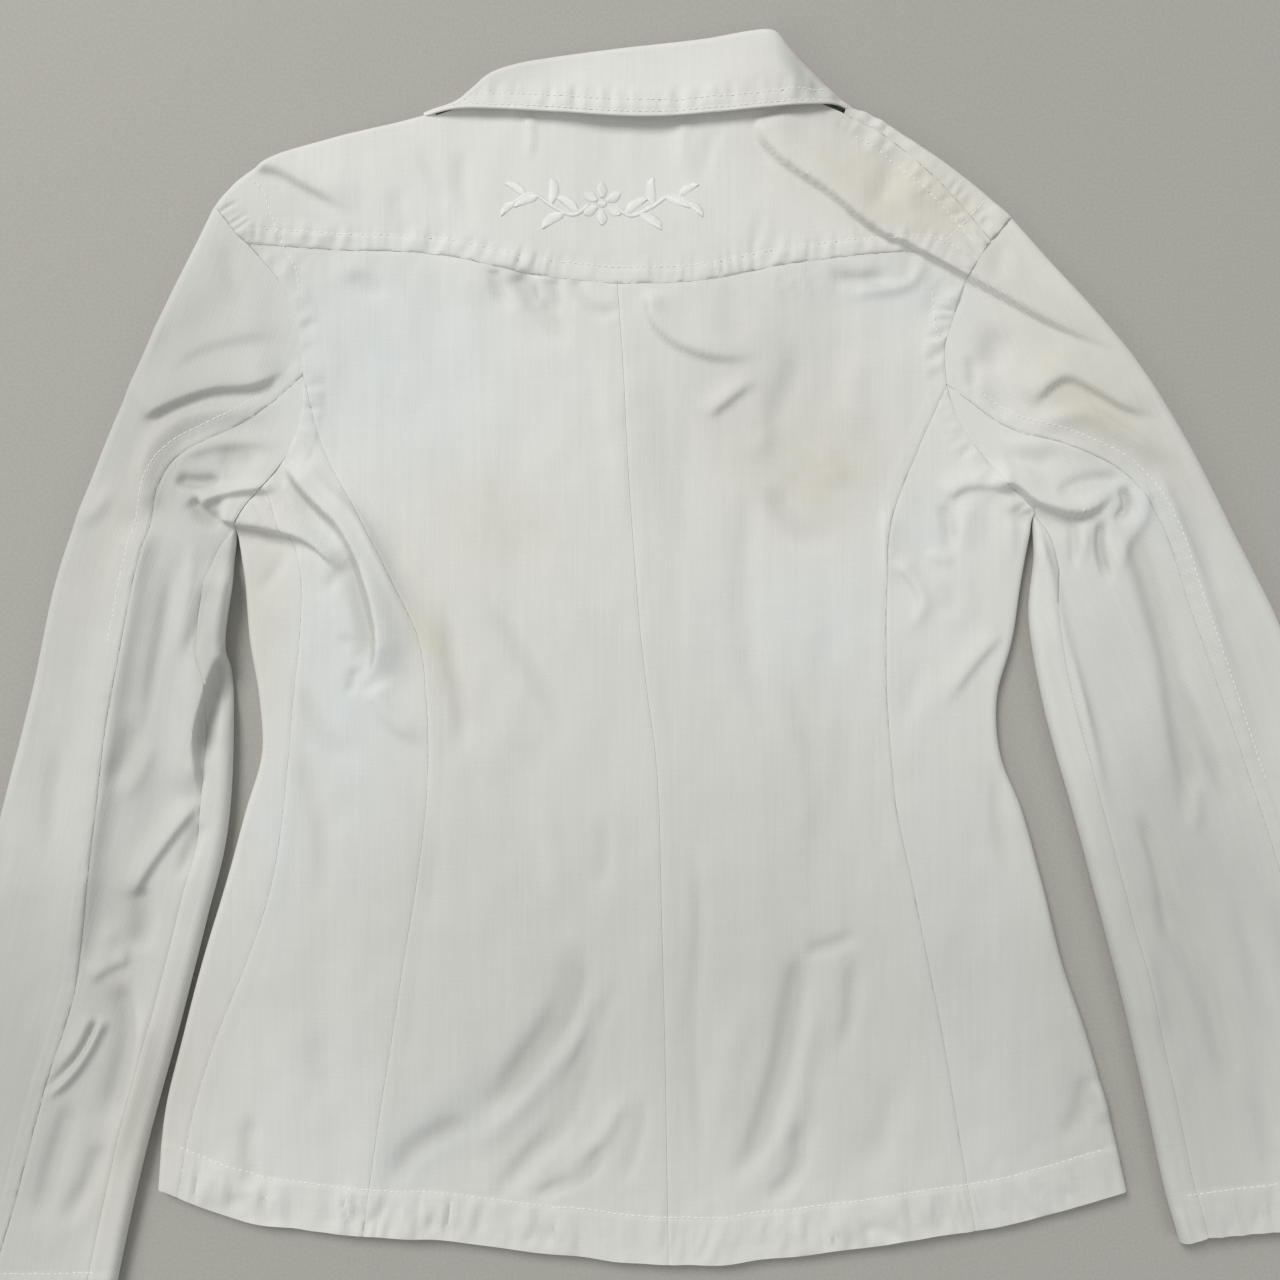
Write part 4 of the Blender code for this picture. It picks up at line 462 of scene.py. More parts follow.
# The embroidery: a garland, its stem and its leaves. Leaf columns: share of the stem, turn, length, width.
GARLAND_CENTRE = (-20.0, 230.0)
GARLAND_STEM = ((7.0, -1.0), (15.0, -6.0), (26.0, -1.5), (37.0, 5.0), (46.0, 0.5))
GARLAND_LEAVES = (
    # share, turn, length, width
    (0.14, 64.0, 14.0, 6.0),
    (0.32, -60.0, 14.5, 6.2),
    (0.50, 58.0, 15.0, 6.4),
    (0.68, -56.0, 14.0, 6.0),
    (0.84, 52.0, 12.5, 5.4),
    (0.98, -14.0, 11.0, 4.6),
)

# Rows of topstitching. Columns: piece, the cloth that they lie on, and each row's path with the shares of it
# where the row starts and stops.
STITCH_ROWS = (
    ("stitches_yoke", None, (("yoke_stitch", 0.02, 0.98), ("front_yoke_stitch", 0.10, 0.97))),
    ("stitches_hem", None, (("hem_stitch", 0.0, 1.0),)),
    ("stitches_armholes", None, (("left_armhole_stitch", 0.0, 1.0), ("right_armhole_stitch", 0.0, 1.0),
                                 ("right_armhole_stitch_low", 0.0, 1.0))),
    ("stitches_left_sleeve", "left", (("left_cuff_stitch", 0.06, 0.96), ("left_back_stitch", 0.03, 0.34))),
    ("stitches_right_sleeve", "right", (("right_cuff_stitch", 0.04, 0.96), ("right_back_stitch", 0.03, 0.55))),
)

ROW_POINTS = 900                  # places at which a row of stitches takes the height of the cloth
STITCH_HEIGHT = 0.10
COLLAR_STITCH_DISTANCES = (2.2, 8.5)

# Places of the lights, in metres from the middle of the jacket.
KEY_PLACE = (-1.8, 2.6, 3.2)
LEFT_PLACE = (-1.35, -0.45, 1.0)
RIGHT_PLACE = (1.15, -0.60, 1.0)


def soft_step(value):
    value = np.clip(value, 0.0, 1.0)
    return value * value * (3.0 - 2.0 * value)


def soft_max(value, floor, blend=0.7):
    """The larger of the two, with a rounded change from one to the other."""
    gap = (value - floor) / blend
    return floor + blend * np.logaddexp(0.0, gap)


def shares(count, pinch=0.0):
    """Shares from 0 to 1, closer together at both ends where pinch is more than zero."""
    even = np.linspace(0.0, 1.0, count + 1)
    return (1.0 - pinch) * even + pinch * soft_step(even)


def path_lengths(path):
    return np.concatenate([[0.0], np.cumsum(np.linalg.norm(np.diff(path, axis=0), axis=1))])


def along(path, wanted):
    """Return the places at these shares of the path's length."""
    lengths = path_lengths(path)
    places = [np.interp(wanted * lengths[-1], lengths, path[:, axis]) for axis in range(path.shape[1])]
    return np.column_stack(places)


def curve(points, step=1.0):
    """Return places about one step apart on a smooth curve through the points."""
    points = np.array(points, dtype=float)
    before = 2.0 * points[0] - points[1]
    after = 2.0 * points[-1] - points[-2]
    chain = np.vstack([before, points, after])
    dense = []
    for index in range(1, len(chain) - 2):
        p0, p1, p2, p3 = chain[index - 1:index + 3]
        knots = [0.0]
        for near, far in ((p0, p1), (p1, p2), (p2, p3)):
            knots.append(knots[-1] + max(np.linalg.norm(far - near), 1e-6) ** 0.5)
        t = np.linspace(knots[1], knots[2], 40, endpoint=False)[:, None]
        a1 = (knots[1] - t) / (knots[1] - knots[0]) * p0 + (t - knots[0]) / (knots[1] - knots[0]) * p1
        a2 = (knots[2] - t) / (knots[2] - knots[1]) * p1 + (t - knots[1]) / (knots[2] - knots[1]) * p2
        a3 = (knots[3] - t) / (knots[3] - knots[2]) * p2 + (t - knots[2]) / (knots[3] - knots[2]) * p3
        b1 = (knots[2] - t) / (knots[2] - knots[0]) * a1 + (t - knots[0]) / (knots[2] - knots[0]) * a2
        b2 = (knots[3] - t) / (knots[3] - knots[1]) * a2 + (t - knots[1]) / (knots[3] - knots[1]) * a3
        dense.append((knots[2] - t) / (knots[2] - knots[1]) * b1 + (t - knots[1]) / (knots[2] - knots[1]) * b2)
    dense = np.vstack(dense + [points[-1:]])
    count = max(int(path_lengths(dense)[-1] / step), 4)
    return along(dense, shares(count))


def chain(*paths):
    """Join polylines whose ends meet."""
    joined = [paths[0]]
    for path in paths[1:]:
        joined.append(path[1:])
    return np.vstack(joined)


def straight(start, end, wanted):
    start = np.array(start, dtype=float)
    end = np.array(end, dtype=float)
    return start + (end - start) * np.array(wanted)[:, None]


def measure(places, path, reach):
    """Find the places within reach of the path: their indexes, distances, lengths along it and sides."""
    low = path.min(axis=0) - reach
    high = path.max(axis=0) + reach
    near = np.flatnonzero(((places > low) & (places < high)).all(axis=1))
    local = places[near]
    best = np.full(len(near), 1e9)
    length_along = np.zeros(len(near))
    side = np.ones(len(near))
    starts = path_lengths(path)
    for index in range(len(path) - 1):
        step = path[index + 1] - path[index]
        length = np.linalg.norm(step)
        direction = step / length
        middle = (path[index] + path[index + 1]) / 2.0
        room = np.abs(step) / 2.0 + reach
        close = np.flatnonzero((np.abs(local - middle) < room).all(axis=1))
        offset = local[close] - path[index]
        t = np.clip(offset @ direction, 0.0, length)
        distance = np.linalg.norm(offset - t[:, None] * direction, axis=1)
        closer = distance < best[close]
        chosen = close[closer]
        best[chosen] = distance[closer]
        length_along[chosen] = starts[index] + t[closer]
        turn = direction[0] * offset[:, 1] - direction[1] * offset[:, 0]
        side[chosen] = np.where(turn[closer] >= 0.0, 1.0, -1.0)
    found = best < reach
    return near[found], best[found], length_along[found], side[found]


LATTICE = np.random.RandomState(71).uniform(-1.0, 1.0, (64, 64))


def soft_noise(x, y, seed=0):
    """Smooth noise from -1 to 1 with one bump about every unit."""
    x = np.asarray(x, dtype=float) + 17.31 * seed
    y = np.asarray(y, dtype=float) + 9.73 * seed
    column = np.floor(x).astype(int)
    row = np.floor(y).astype(int)
    u = soft_step(x - column)
    v = soft_step(y - row)
    near = LATTICE[row % 64, column % 64] * (1.0 - u) + LATTICE[row % 64, (column + 1) % 64] * u
    far = LATTICE[(row + 1) % 64, column % 64] * (1.0 - u) + LATTICE[(row + 1) % 64, (column + 1) % 64] * u
    return near * (1.0 - v) + far * v


FOLD_PATHS = [along(curve(row[0]), shares(18)) for row in FOLDS]


def fold_height(places):
    total = np.zeros(len(places))
    for path, (_, rise, left, right, grow, fade, _) in zip(FOLD_PATHS, FOLDS):
        left = max(left, LEAST_FOLD_WIDTH)
        right = max(right, LEAST_FOLD_WIDTH)
        near, distance, length, side = measure(places, path, 2.6 * max(left, right))
        share = length / path_lengths(path)[-1]
        width = np.where(side > 0, left, right)
        ends = soft_step(share / grow) * soft_step((1.0 - share) / fade)
        total[near] += rise * np.exp(-(distance / width) ** 2) * ends
    return total


def fold_lean(places):
    """How far the cloth is drawn over sideways where a fold leans over its steep side."""
    shift = np.zeros((len(places), 2))
    for path, (_, _, left, right, grow, fade, lean) in zip(FOLD_PATHS, FOLDS):
        if lean == 0.0:
            continue
        near, distance, length, side = measure(places, path, 18.0)
        lengths = path_lengths(path)
        tangent = np.gradient(path, axis=0)
        tangent /= np.linalg.norm(tangent, axis=1)[:, None]
        turn = 1.0 if left < right else -1.0
        toward = turn * np.column_stack([-np.interp(length, lengths, tangent[:, 1]),
                                         np.interp(length, lengths, tangent[:, 0])])
        share = length / lengths[-1]
        width = np.where(side == turn, 3.4, 7.0)
        ends = soft_step(share / grow) * soft_step((1.0 - share) / fade)
        shift[near] += (lean * np.exp(-(distance / width) ** 2) * ends)[:, None] * toward
    return shift


def raise_near_collar(places):
    """The fronts and the shoulders lie on the collar's front leaves, so they are lifted there."""
    total = np.zeros(len(places))
    for centre in ((-95.0, 258.0), (95.0, 258.0)):
        distance = np.linalg.norm(places - np.array(centre), axis=1)
        total = np.maximum(total, OVERLAP_RAISE * (1.0 - soft_step((distance - 57.0) / 30.0)))
    return total


def raise_at_overlap(places):
    """The left front is lifted where it lies on the right one, along the centre."""
    x = places[:, 0]
    rising = soft_step((x + FRONT_OVERLAP + 45.0) / 25.0)
    falling = soft_step((FRONT_OVERLAP + 38.0 - x) / 25.0)
    return OVERLAP_RAISE * rising * falling


def low_height(places, overlap=False):
    height = raise_near_collar(places)
    if overlap:
        height = height + raise_at_overlap(places)
    return height


class Cloth:
    """The upper face of the body or of one sleeve: its height and the run of its threads."""

    def __init__(self, plan, side=None):
        self.plan = plan
        self.side = side
        self.strength = settings().fold_strength
        if side is None:
            self.seams = [row for row in SEAMS if row[0] in BODY_SEAMS]
            self.puckers = [row for row in PUCKERS if row[0] in BODY_SEAMS]
            self.edge = plan["hem"]
        else:
            self.armhole = plan[side + "_armhole_line"]
            self.centre = plan[side + "_sleeve_centre"]
            self.seams = [row for row in SEAMS if row[0].startswith(side) and row[0] not in BODY_ONLY]
            self.puckers = [row for row in PUCKERS if row[0].startswith(side) and row[0] not in BODY_ONLY]
            self.edge = plan[side + "_cuff"]

    def coarse(self, places):
        """The height without seams and puckers."""
        height = BODY_HEIGHT + 0.7 * raise_near_collar(places) + self.strength * fold_height(places)
        if self.side is not None:
            near, distance, _, _ = measure(places, self.armhole, SLEEVE_RISE_LENGTH)
            share = np.ones(len(places))
            share[near] = soft_step(distance / SLEEVE_RISE_LENGTH)
            height += (SLEEVE_HEIGHT - BODY_HEIGHT) * share
        near, distance, _, _ = measure(places, self.edge, 34.0)
        height[near] -= HEM_FALL * (1.0 - soft_step(distance / 34.0)) * (1.0 if self.side is None else 1.8)
        return height

    def drape(self, places):
        """Soft waves that run with the length of the cloth, uneven in width and depth."""
        grain = self.grain(places)
        across, length = grain[:, 0], grain[:, 1]
        bend = 9.0 * soft_noise(across / 70.0, length / 60.0, 3)
        waves = 0.60 * soft_noise((across + bend) / 19.0, length / 80.0, 5)
        waves += 0.20 * soft_noise((across + bend) / 8.5, length / 30.0, 6)
        waves += 0.75 * soft_noise((across + 2.0 * bend) / 42.0, length / 50.0, 8)
        waves += 0.30 * soft_noise(across / 13.0, length / 15.0, 7)
        return waves

    def height(self, places):
        height = self.coarse(places) + self.drape(places)
        for name, groove, width, ridge_side, ridge, ridge_width in self.seams:
            path = self.plan[name]
            near, distance, _, side = measure(places, path, ridge_width + 4.0)
            height[near] -= groove * np.exp(-(distance / width) ** 2)
            on_ridge = np.where(side == ridge_side, 1.0, 0.0) if ridge_side else 1.0
            height[near] += ridge * on_ridge * (1.0 - soft_step((distance - ridge_width + 1.5) / 3.0))
        for name, ridge_side, start, stop, rise, pitch, seed in self.puckers:
            path = self.plan[name]
            near, distance, length, side = measure(places, path, stop)
            slant = 0.35 * soft_noise(length / 40.0, 0.0, seed + 2)
            phase = (length + slant * distance) / pitch + 0.9 * soft_noise(length / 33.0, 0.0, seed)
            wave = 1.5 * np.abs(soft_noise(phase, distance / 24.0, seed + 1)) - 0.55
            wave += 0.30 * soft_noise(phase * 2.3, distance / 9.0, seed + 4)
            share = np.clip((distance - start) / (stop - start), 0.0, 1.0)
            reach = np.sin(math.pi * share ** 0.7) * np.where(distance > start, 1.0, 0.0)
            reach = reach * np.where(side == ridge_side, 1.0, 0.0)
            uneven = 0.65 + 0.55 * soft_noise(length / 26.0, 0.0, seed + 3)
            height[near] += rise * wave * reach * uneven
        for name, sink in STITCH_GROOVES:
            if (name in BODY_STITCHES) != (self.side is None) or not name.startswith(self.side or ""):
                continue
            near, distance, _, _ = measure(places, self.plan[name], 3.0)
            height[near] -= sink * np.exp(-(distance / 0.9) ** 2)
        floor = LEAST_HEIGHT + raise_near_collar(places) + raise_at_overlap(places)
        return soft_max(height, floor)

    def grain(self, places):
        """Distances across and along the cloth."""
        if self.side is None:
            return places.copy()
        near, distance, length, side = measure(places, self.centre, 400.0)
        grain = np.zeros((len(places), 2))
        grain[near, 0] = distance * side
        grain[near, 1] = -length
        return grain

    def on_top(self, grid):
        rows, columns, _ = grid.shape
        places = grid.reshape(-1, 2)
        up = np.tile([0.0, 0.0, 1.0], (len(places), 1))
        drawn = places + fold_lean(places)
        return np.column_stack([drawn, self.height(places), up, self.grain(places)]).reshape(rows, columns, 8)

    def on_table(self, grid, overlap=False):
        rows, columns, _ = grid.shape
        places = grid.reshape(-1, 2)
        down = np.tile([0.0, 0.0, -1.0], (len(places), 1))
        low = low_height(places, overlap)
        return np.column_stack([places, low, down, self.grain(places)]).reshape(rows, columns, 8)

    def roll(self, edge, overlap=False, low=None, high=None, leaning=True):
        """Rows along the edge, columns from the top round to the table side."""
        high = self.height(edge.inside) if high is None else high
        low = low_height(edge.inside, overlap) if low is None else low
        grain = self.grain(edge.inside)
        drawn = fold_lean(edge.inside) if leaning else np.zeros((len(edge.inside), 2))
        columns = []
        for step in range(ROLL_STEPS + 1):
            angle = math.pi / 2.0 - math.pi * step / ROLL_STEPS
            reach = edge.inside + edge.radius[:, None] * math.cos(angle) * edge.outward
            reach = reach + drawn * (1.0 + math.sin(angle)) / 2.0
            height = (high + low) / 2.0 + (high - low) / 2.0 * math.sin(angle)
            out = np.column_stack([math.cos(angle) * edge.outward, np.full(len(reach), math.sin(angle))])
            shift = grain + np.array([edge.radius.mean() * (math.pi / 2.0 - angle), 0.0])
            columns.append(np.column_stack([reach, height, out, shift]))
        return np.stack(columns, axis=1)


class Edge:
    """An outline edge of the laid-out jacket, where the cloth rolls from the top to the table side."""

    def __init__(self, places, outward, radius):
        self.places = places
        self.outward = outward / np.linalg.norm(outward, axis=1)[:, None]
        self.radius = radius
        self.inside = places - radius[:, None] * self.outward

    def sample(self, start, stop, wanted):
        """Take places at these shares of the stretch between two of its points."""
        stretch = slice(start, stop + 1)
        whole = np.column_stack([self.places[stretch], self.outward[stretch], self.radius[stretch]])
        lengths = path_lengths(self.places[stretch])
        taken = [np.interp(wanted * lengths[-1], lengths, whole[:, column]) for column in range(5)]
        taken = np.column_stack(taken)
        return Edge(taken[:, :2], taken[:, 2:4], taken[:, 4])

    def reversed(self):
        return Edge(self.places[::-1], self.outward[::-1], self.radius[::-1])


def make_edge(places, outward_left, thickness, underarm=None):
    """thickness is how far the top lies above the table side at each place."""
    direction = np.gradient(places, axis=0)
    direction /= np.linalg.norm(direction, axis=1)[:, None]
    turn = 1.0 if outward_left else -1.0
    outward = turn * np.column_stack([-direction[:, 1], direction[:, 0]])
    if underarm is not None:
        lengths = path_lengths(places)
        away = soft_step(np.abs(lengths - lengths[underarm]) / 24.0)[:, None]
        outward = away * outward + (1.0 - away) * np.array([0.0, -1.0])
    return Edge(places, outward, np.clip(thickness / 2.0, 2.8, 6.0))


def patch(first, last, start, end, u=None, v=None):
    """Fill between four edges. first and last run along the rows, start and end across the columns."""
    u = (shares(len(start) - 1) if u is None else u)[None, :, None]
    v = (shares(len(first) - 1) if v is None else v)[:, None, None]
    ruled_rows = (1.0 - u) * first[:, None, :] + u * last[:, None, :]
    ruled_columns = (1.0 - v) * start[None, :, :] + v * end[None, :, :]
    corners = ((1.0 - u) * (1.0 - v) * first[0] + u * (1.0 - v) * last[0]
               + (1.0 - u) * v * first[-1] + u * v * last[-1])
    return ruled_rows + ruled_columns - corners


def fanned_patch(first, last, start, end, u=None):
    """Like patch, where the first rows turn round the first place of a shorter last edge."""
    fan = len(first) - len(last)
    wanted = shares(len(start) - 1) if u is None else u
    line = straight(first[fan], last[0], wanted)
    pivot = np.repeat(last[:1], fan + 1, axis=0)
    upper = patch(first[:fan + 1], pivot, start, line, u)
    lower = patch(first[fan:], last, line, end, u)
    return np.vstack([upper, lower[1:]])


def offset_path(path, distance):
    """A path beside this one, to its left where distance is above zero."""
    direction = np.gradient(path, axis=0)
    direction /= np.linalg.norm(direction, axis=1)[:, None]
    return path + distance * np.column_stack([-direction[:, 1], direction[:, 0]])


def body_column(column, start, bends, end):
    return [start] + list(bends) + [(row[column], row[0]) for row in BODY_SECTIONS] + [end]


def sleeve_column(table, column, start, end):
    return [start] + [(row[column], row[column + 1]) for row in table] + [end]


def lay_out():
    """Work out every seam, outline edge and row of stitches once, as places in plan."""
    plan = {}
    left_yoke = curve((LEFT_SHOULDER,) + LEFT_ARMHOLE_YOKE + (LEFT_YOKE_END,))
    left_back = curve((LEFT_YOKE_END,) + LEFT_ARMHOLE_BACK + (LEFT_BACK_JOIN,))
    left_side = curve((LEFT_BACK_JOIN,) + LEFT_ARMHOLE_SIDE + (LEFT_SIDE_TOP,))
    left_under = straight(LEFT_SIDE_TOP, LEFT_CROTCH, shares(30))
    plan["left_armhole_line"] = along(chain(left_yoke, left_back, left_side, left_under), shares(60))
    front_line = straight(RIGHT_SHOULDER, FRONT_SEAM_END, shares(15))
    right_yoke = curve((FRONT_SEAM_END,) + RIGHT_ARMHOLE_YOKE + (RIGHT_YOKE_END,))
    right_back = curve((RIGHT_YOKE_END,) + RIGHT_ARMHOLE_BACK + (RIGHT_BACK_JOIN,))
    right_side = curve((RIGHT_BACK_JOIN,) + RIGHT_ARMHOLE_SIDE + (RIGHT_CROTCH,))
    plan["right_armhole_line"] = along(chain(front_line, right_yoke, right_back, right_side), shares(60))

    for side, table, shoulder, bends, neck, cuff, outward_left in (
            ("left", LEFT_SLEEVE_SECTIONS, LEFT_SHOULDER, LEFT_SHOULDER_EDGE, LEFT_NECK, LEFT_CUFF, False),
            ("right", RIGHT_SLEEVE_SECTIONS, RIGHT_SHOULDER, RIGHT_SHOULDER_EDGE, RIGHT_NECK, RIGHT_CUFF, True)):
        over = curve((neck,) + bends[::-1] + (shoulder,))
        down = curve(sleeve_column(table, 0, shoulder, cuff[0]))
        places = chain(over, down)
        thickness = np.full(len(places), BODY_HEIGHT)
        away = soft_step((np.arange(len(places)) - len(over)) / SLEEVE_RISE_LENGTH)
        thickness += (SLEEVE_HEIGHT - BODY_HEIGHT) * away
        thickness -= low_height(places)
        plan[side + "_outer"] = make_edge(places, outward_left, thickness)
        plan[side + "_shoulder_index"] = len(over) - 1
    for side, table, crotch, column, corner, cuff, outward_left in (
            ("left", LEFT_SLEEVE_SECTIONS, LEFT_CROTCH, 1, HEM_CORNERS[0], LEFT_CUFF, False),
            ("right", RIGHT_SLEEVE_SECTIONS, RIGHT_CROTCH, 6, HEM_CORNERS[1], RIGHT_CUFF, True)):
        up = curve(sleeve_column(table, 4, crotch, cuff[2]))[::-1]
        down = curve(body_column(column, crotch, (), corner))
        places = chain(up, down)
        thickness = np.full(len(places), BODY_HEIGHT)
        away = soft_step((len(up) - np.arange(len(places))) / SLEEVE_RISE_LENGTH)
        thickness += (SLEEVE_HEIGHT - BODY_HEIGHT) * away
        plan[side + "_inner"] = make_edge(places, outward_left, thickness, underarm=len(up) - 1)
        plan[side + "_underarm_index"] = len(up) - 1
        cuff_line = straight(min(cuff[0], cuff[2]), max(cuff[0], cuff[2]), shares(24))
        plan[side + "_cuff"] = cuff_line
        middle = [((row[0] + row[4]) / 2.0, (row[1] + row[5]) / 2.0) for row in table]
        middle.insert(0, tuple(3.2 * np.array(middle[0]) - 2.2 * np.array(middle[1])))
        last = ((cuff[0][0] + cuff[2][0]) / 2.0, (cuff[0][1] + cuff[2][1]) / 2.0)
        plan[side + "_sleeve_centre"] = along(curve(middle + [last]), shares(40))

    crotch = plan["left_inner"].inside[plan["left_underarm_index"]]
    shoulder = plan["left_outer"].inside[plan["left_shoulder_index"]]
    plan["left_armhole_yoke"] = curve((shoulder, (-213.5, 215.0), LEFT_YOKE_END))
    plan["left_armhole_back"] = left_back
    plan["left_armhole_side"] = left_side
    plan["left_armhole_under"] = curve((LEFT_SIDE_TOP,) + LEFT_ARMHOLE_UNDER + (tuple(crotch),))
    plan["left_armhole"] = along(chain(plan["left_armhole_yoke"], left_back, left_side,
                                       plan["left_armhole_under"]), shares(90))
    crotch = plan["right_inner"].inside[plan["right_underarm_index"]]
    shoulder = plan["right_outer"].inside[plan["right_shoulder_index"]]
    plan["right_armhole_front"] = straight(shoulder, FRONT_SEAM_END, shares(15))
    plan["right_armhole_yoke"] = right_yoke
    plan["right_armhole_back"] = right_back
    plan["right_armhole_side"] = curve((RIGHT_BACK_JOIN,) + RIGHT_ARMHOLE_SIDE + (tuple(crotch),))
    plan["right_armhole"] = along(chain(plan["right_armhole_front"], right_yoke, right_back,
                                        plan["right_armhole_side"]), shares(90))

    left_corner = plan["left_inner"].inside[-1]
    right_corner = plan["right_inner"].inside[-1]
    hem = curve((tuple(left_corner),) + HEM_EDGE + (tuple(right_corner),))
    hem[:, 1] += 0.9 * soft_noise(hem[:, 0] / 19.0, 0.0, 31) * np.sin(math.pi * shares(len(hem) - 1)) ** 0.5
    plan["hem"] = hem
    hem_y = {name: np.interp(x, hem[:, 0], hem[:, 1]) for name, x in HEM_ENDS.items()}
    ends = {name: (x, hem_y[name]) for name, x in HEM_ENDS.items()}
    plan["left_side"] = curve(body_column(2, LEFT_SIDE_TOP, ((-192.0, 66.0), (-182.5, 48.0)),
                                          ends["left_side"]))
    plan["left_princess"] = curve(body_column(3, LEFT_BACK_JOIN, ((-167.0, 100.0), (-146.0, 62.0)),
                                              ends["left_princess"]))
    plan["right_princess"] = curve(body_column(5, RIGHT_BACK_JOIN, ((146.5, 100.0), (132.0, 60.0)),
                                               ends["right_princess"]))
    bends = ((-9.0, 145.0), (-6.8, 100.0), (-4.2, 60.0))
    plan["centre"] = curve(body_column(4, CENTRE_BACK_TOP, bends, ends["centre"]))

    plan["left_yoke_seam"] = curve((LEFT_YOKE_END,) + LEFT_YOKE_SEAM + (CENTRE_BACK_TOP,))
    plan["right_yoke_seam"] = curve((CENTRE_BACK_TOP,) + RIGHT_YOKE_SEAM + (RIGHT_YOKE_END,))
    plan["yoke_seam"] = chain(plan["left_yoke_seam"], plan["right_yoke_seam"])
    outer = plan["right_outer"]
    front_start = outer.inside[0] - 2.5 * outer.outward[0]
    plan["front_yoke_seam"] = curve((tuple(front_start),) + FRONT_YOKE_SEAM + (FRONT_SEAM_END,))
    middle_part = curve(NECKLINE)
    plan["stand_seam"] = middle_part
    plan["neckline"] = chain(straight(plan["left_outer"].inside[0], NECKLINE[0], shares(20)), middle_part,
                             straight(NECKLINE[-1], front_start, shares(20)))

    for side, table, cuff, join in (("left", LEFT_SLEEVE_SECTIONS, LEFT_CUFF, LEFT_BACK_JOIN),
                                    ("right", RIGHT_SLEEVE_SECTIONS, RIGHT_CUFF, RIGHT_BACK_JOIN)):
        plan[side + "_back_seam"] = curve(sleeve_column(table, 2, join, cuff[1]))
        inner = plan[side + "_inner"]
        index = plan[side + "_underarm_index"]
        drift = np.clip(np.arange(index, -1, -1) / 28.0, 0.0, 1.0)[:, None]
        seam = inner.inside[:index + 1] - inner.outward[:index + 1] * drift * INNER_SEAM_INSET
        plan[side + "_inner_seam"] = seam[::-1]

    # The same seams of the fronts on the table side.
    neck = plan["left_outer"].inside[0]
    plan["front_yoke_left"] = (np.array((-209.0, 210.0)), neck + np.array((6.0, -22.0)))
    crotch = plan["left_inner"].inside[plan["left_underarm_index"]]
    plan["left_front_armhole"] = curve((tuple(crotch),) + LEFT_FRONT_ARMHOLE + ((-209.0, 210.0),))
    crotch = plan["right_inner"].inside[plan["right_underarm_index"]]
    shoulder = outer.inside[plan["right_shoulder_index"]]
    plan["right_front_armhole"] = curve((tuple(crotch),) + RIGHT_FRONT_ARMHOLE + (tuple(shoulder),))

    # Rows of topstitching.
    plan["yoke_stitch"] = offset_path(plan["yoke_seam"], YOKE_STITCH_OFFSET)
    plan["hem_stitch"] = offset_path(plan["hem"], HEM_DEPTH)
    plan["left_armhole_stitch"] = curve(((-205.0, 243.0), (-199.0, 238.0), (-196.0, 228.0), (-188.0, 208.0),
                                         (-181.0, 194.0), (-180.0, 178.0)))
    plan["right_armhole_stitch"] = curve(((182.5, 232.5), (169.0, 218.0), (157.5, 207.5)))
    plan["right_armhole_stitch_low"] = curve(((154.5, 184.0), (156.0, 165.0), (159.5, 156.5)))
    plan["front_yoke_stitch"] = offset_path(plan["front_yoke_seam"], -8.0)
    plan["left_cuff_stitch"] = offset_path(plan["left_cuff"], CUFF_DEPTH)
    plan["right_cuff_stitch"] = offset_path(plan["right_cuff"], CUFF_DEPTH - 2.5)
    plan["left_back_stitch"] = offset_path(plan["left_back_seam"], -BACK_SEAM_STITCH_OFFSET)
    plan["right_back_stitch"] = offset_path(plan["right_back_seam"], BACK_SEAM_STITCH_OFFSET)
    return plan


def steps(path, step=CLOTH_STEP):
    return max(int(round(path_lengths(path)[-1] / step)), 3)


def weld(grids):
    """Join the grids of one piece where their points meet. Returns the points and the faces' corners."""
    rows_of = []
    quads = []
    offset = 0
    for grid in grids:
        rows, columns, _ = grid.shape
        index = np.arange(rows * columns).reshape(rows, columns) + offset
        corners = (index[:-1, :-1], index[:-1, 1:], index[1:, 1:], index[1:, :-1])
        corners = np.stack(corners, axis=-1).reshape(-1, 4)
        flat = grid.reshape(-1, 8)
        if faces_inward(flat, corners - offset):
            corners = corners[:, ::-1]
        quads.append(corners)
        rows_of.append(flat)
        offset += rows * columns
    data = np.vstack(rows_of)
    keys = np.round(data[:, :3] * 1000.0).astype(np.int64)
    _, first, inverse = np.unique(keys, axis=0, return_index=True, return_inverse=True)
    data = data[first]
    quads = inverse.reshape(-1)[np.vstack(quads)]
    repeated = quads == np.roll(quads, -1, axis=1)
    faces = quads[~repeated.any(axis=1)]
    triangles = quads[repeated.sum(axis=1) == 1]
    turn = np.argmax(triangles == np.roll(triangles, -1, axis=1), axis=1)
    order = (turn[:, None] + 1 + np.arange(3)) % 4
    triangles = np.take_along_axis(triangles, order, axis=1)
    return data, faces, triangles


def faces_inward(data, faces):
    """Say whether most faces of a grid look against the way that its corners do."""
    points = data[:, :3]
    first = points[faces[:, 2]] - points[faces[:, 0]]
    second = points[faces[:, 3]] - points[faces[:, 1]]
    normal = np.cross(first, second)
    wanted = data[:, 3:6][faces].sum(axis=1)
    return (normal * wanted).sum() < 0.0


def rim_edges(faces, triangles):
    """Return the directed edges that only one face has."""
    pairs = [np.stack([group, np.roll(group, -1, axis=1)], axis=-1).reshape(-1, 2) for group in (faces, triangles)]
    pairs = np.vstack(pairs)
    undirected = np.sort(pairs, axis=1)
    _, inverse, counts = np.unique(undirected, axis=0, return_inverse=True, return_counts=True)
    return pairs[counts[inverse.reshape(-1)] == 1]


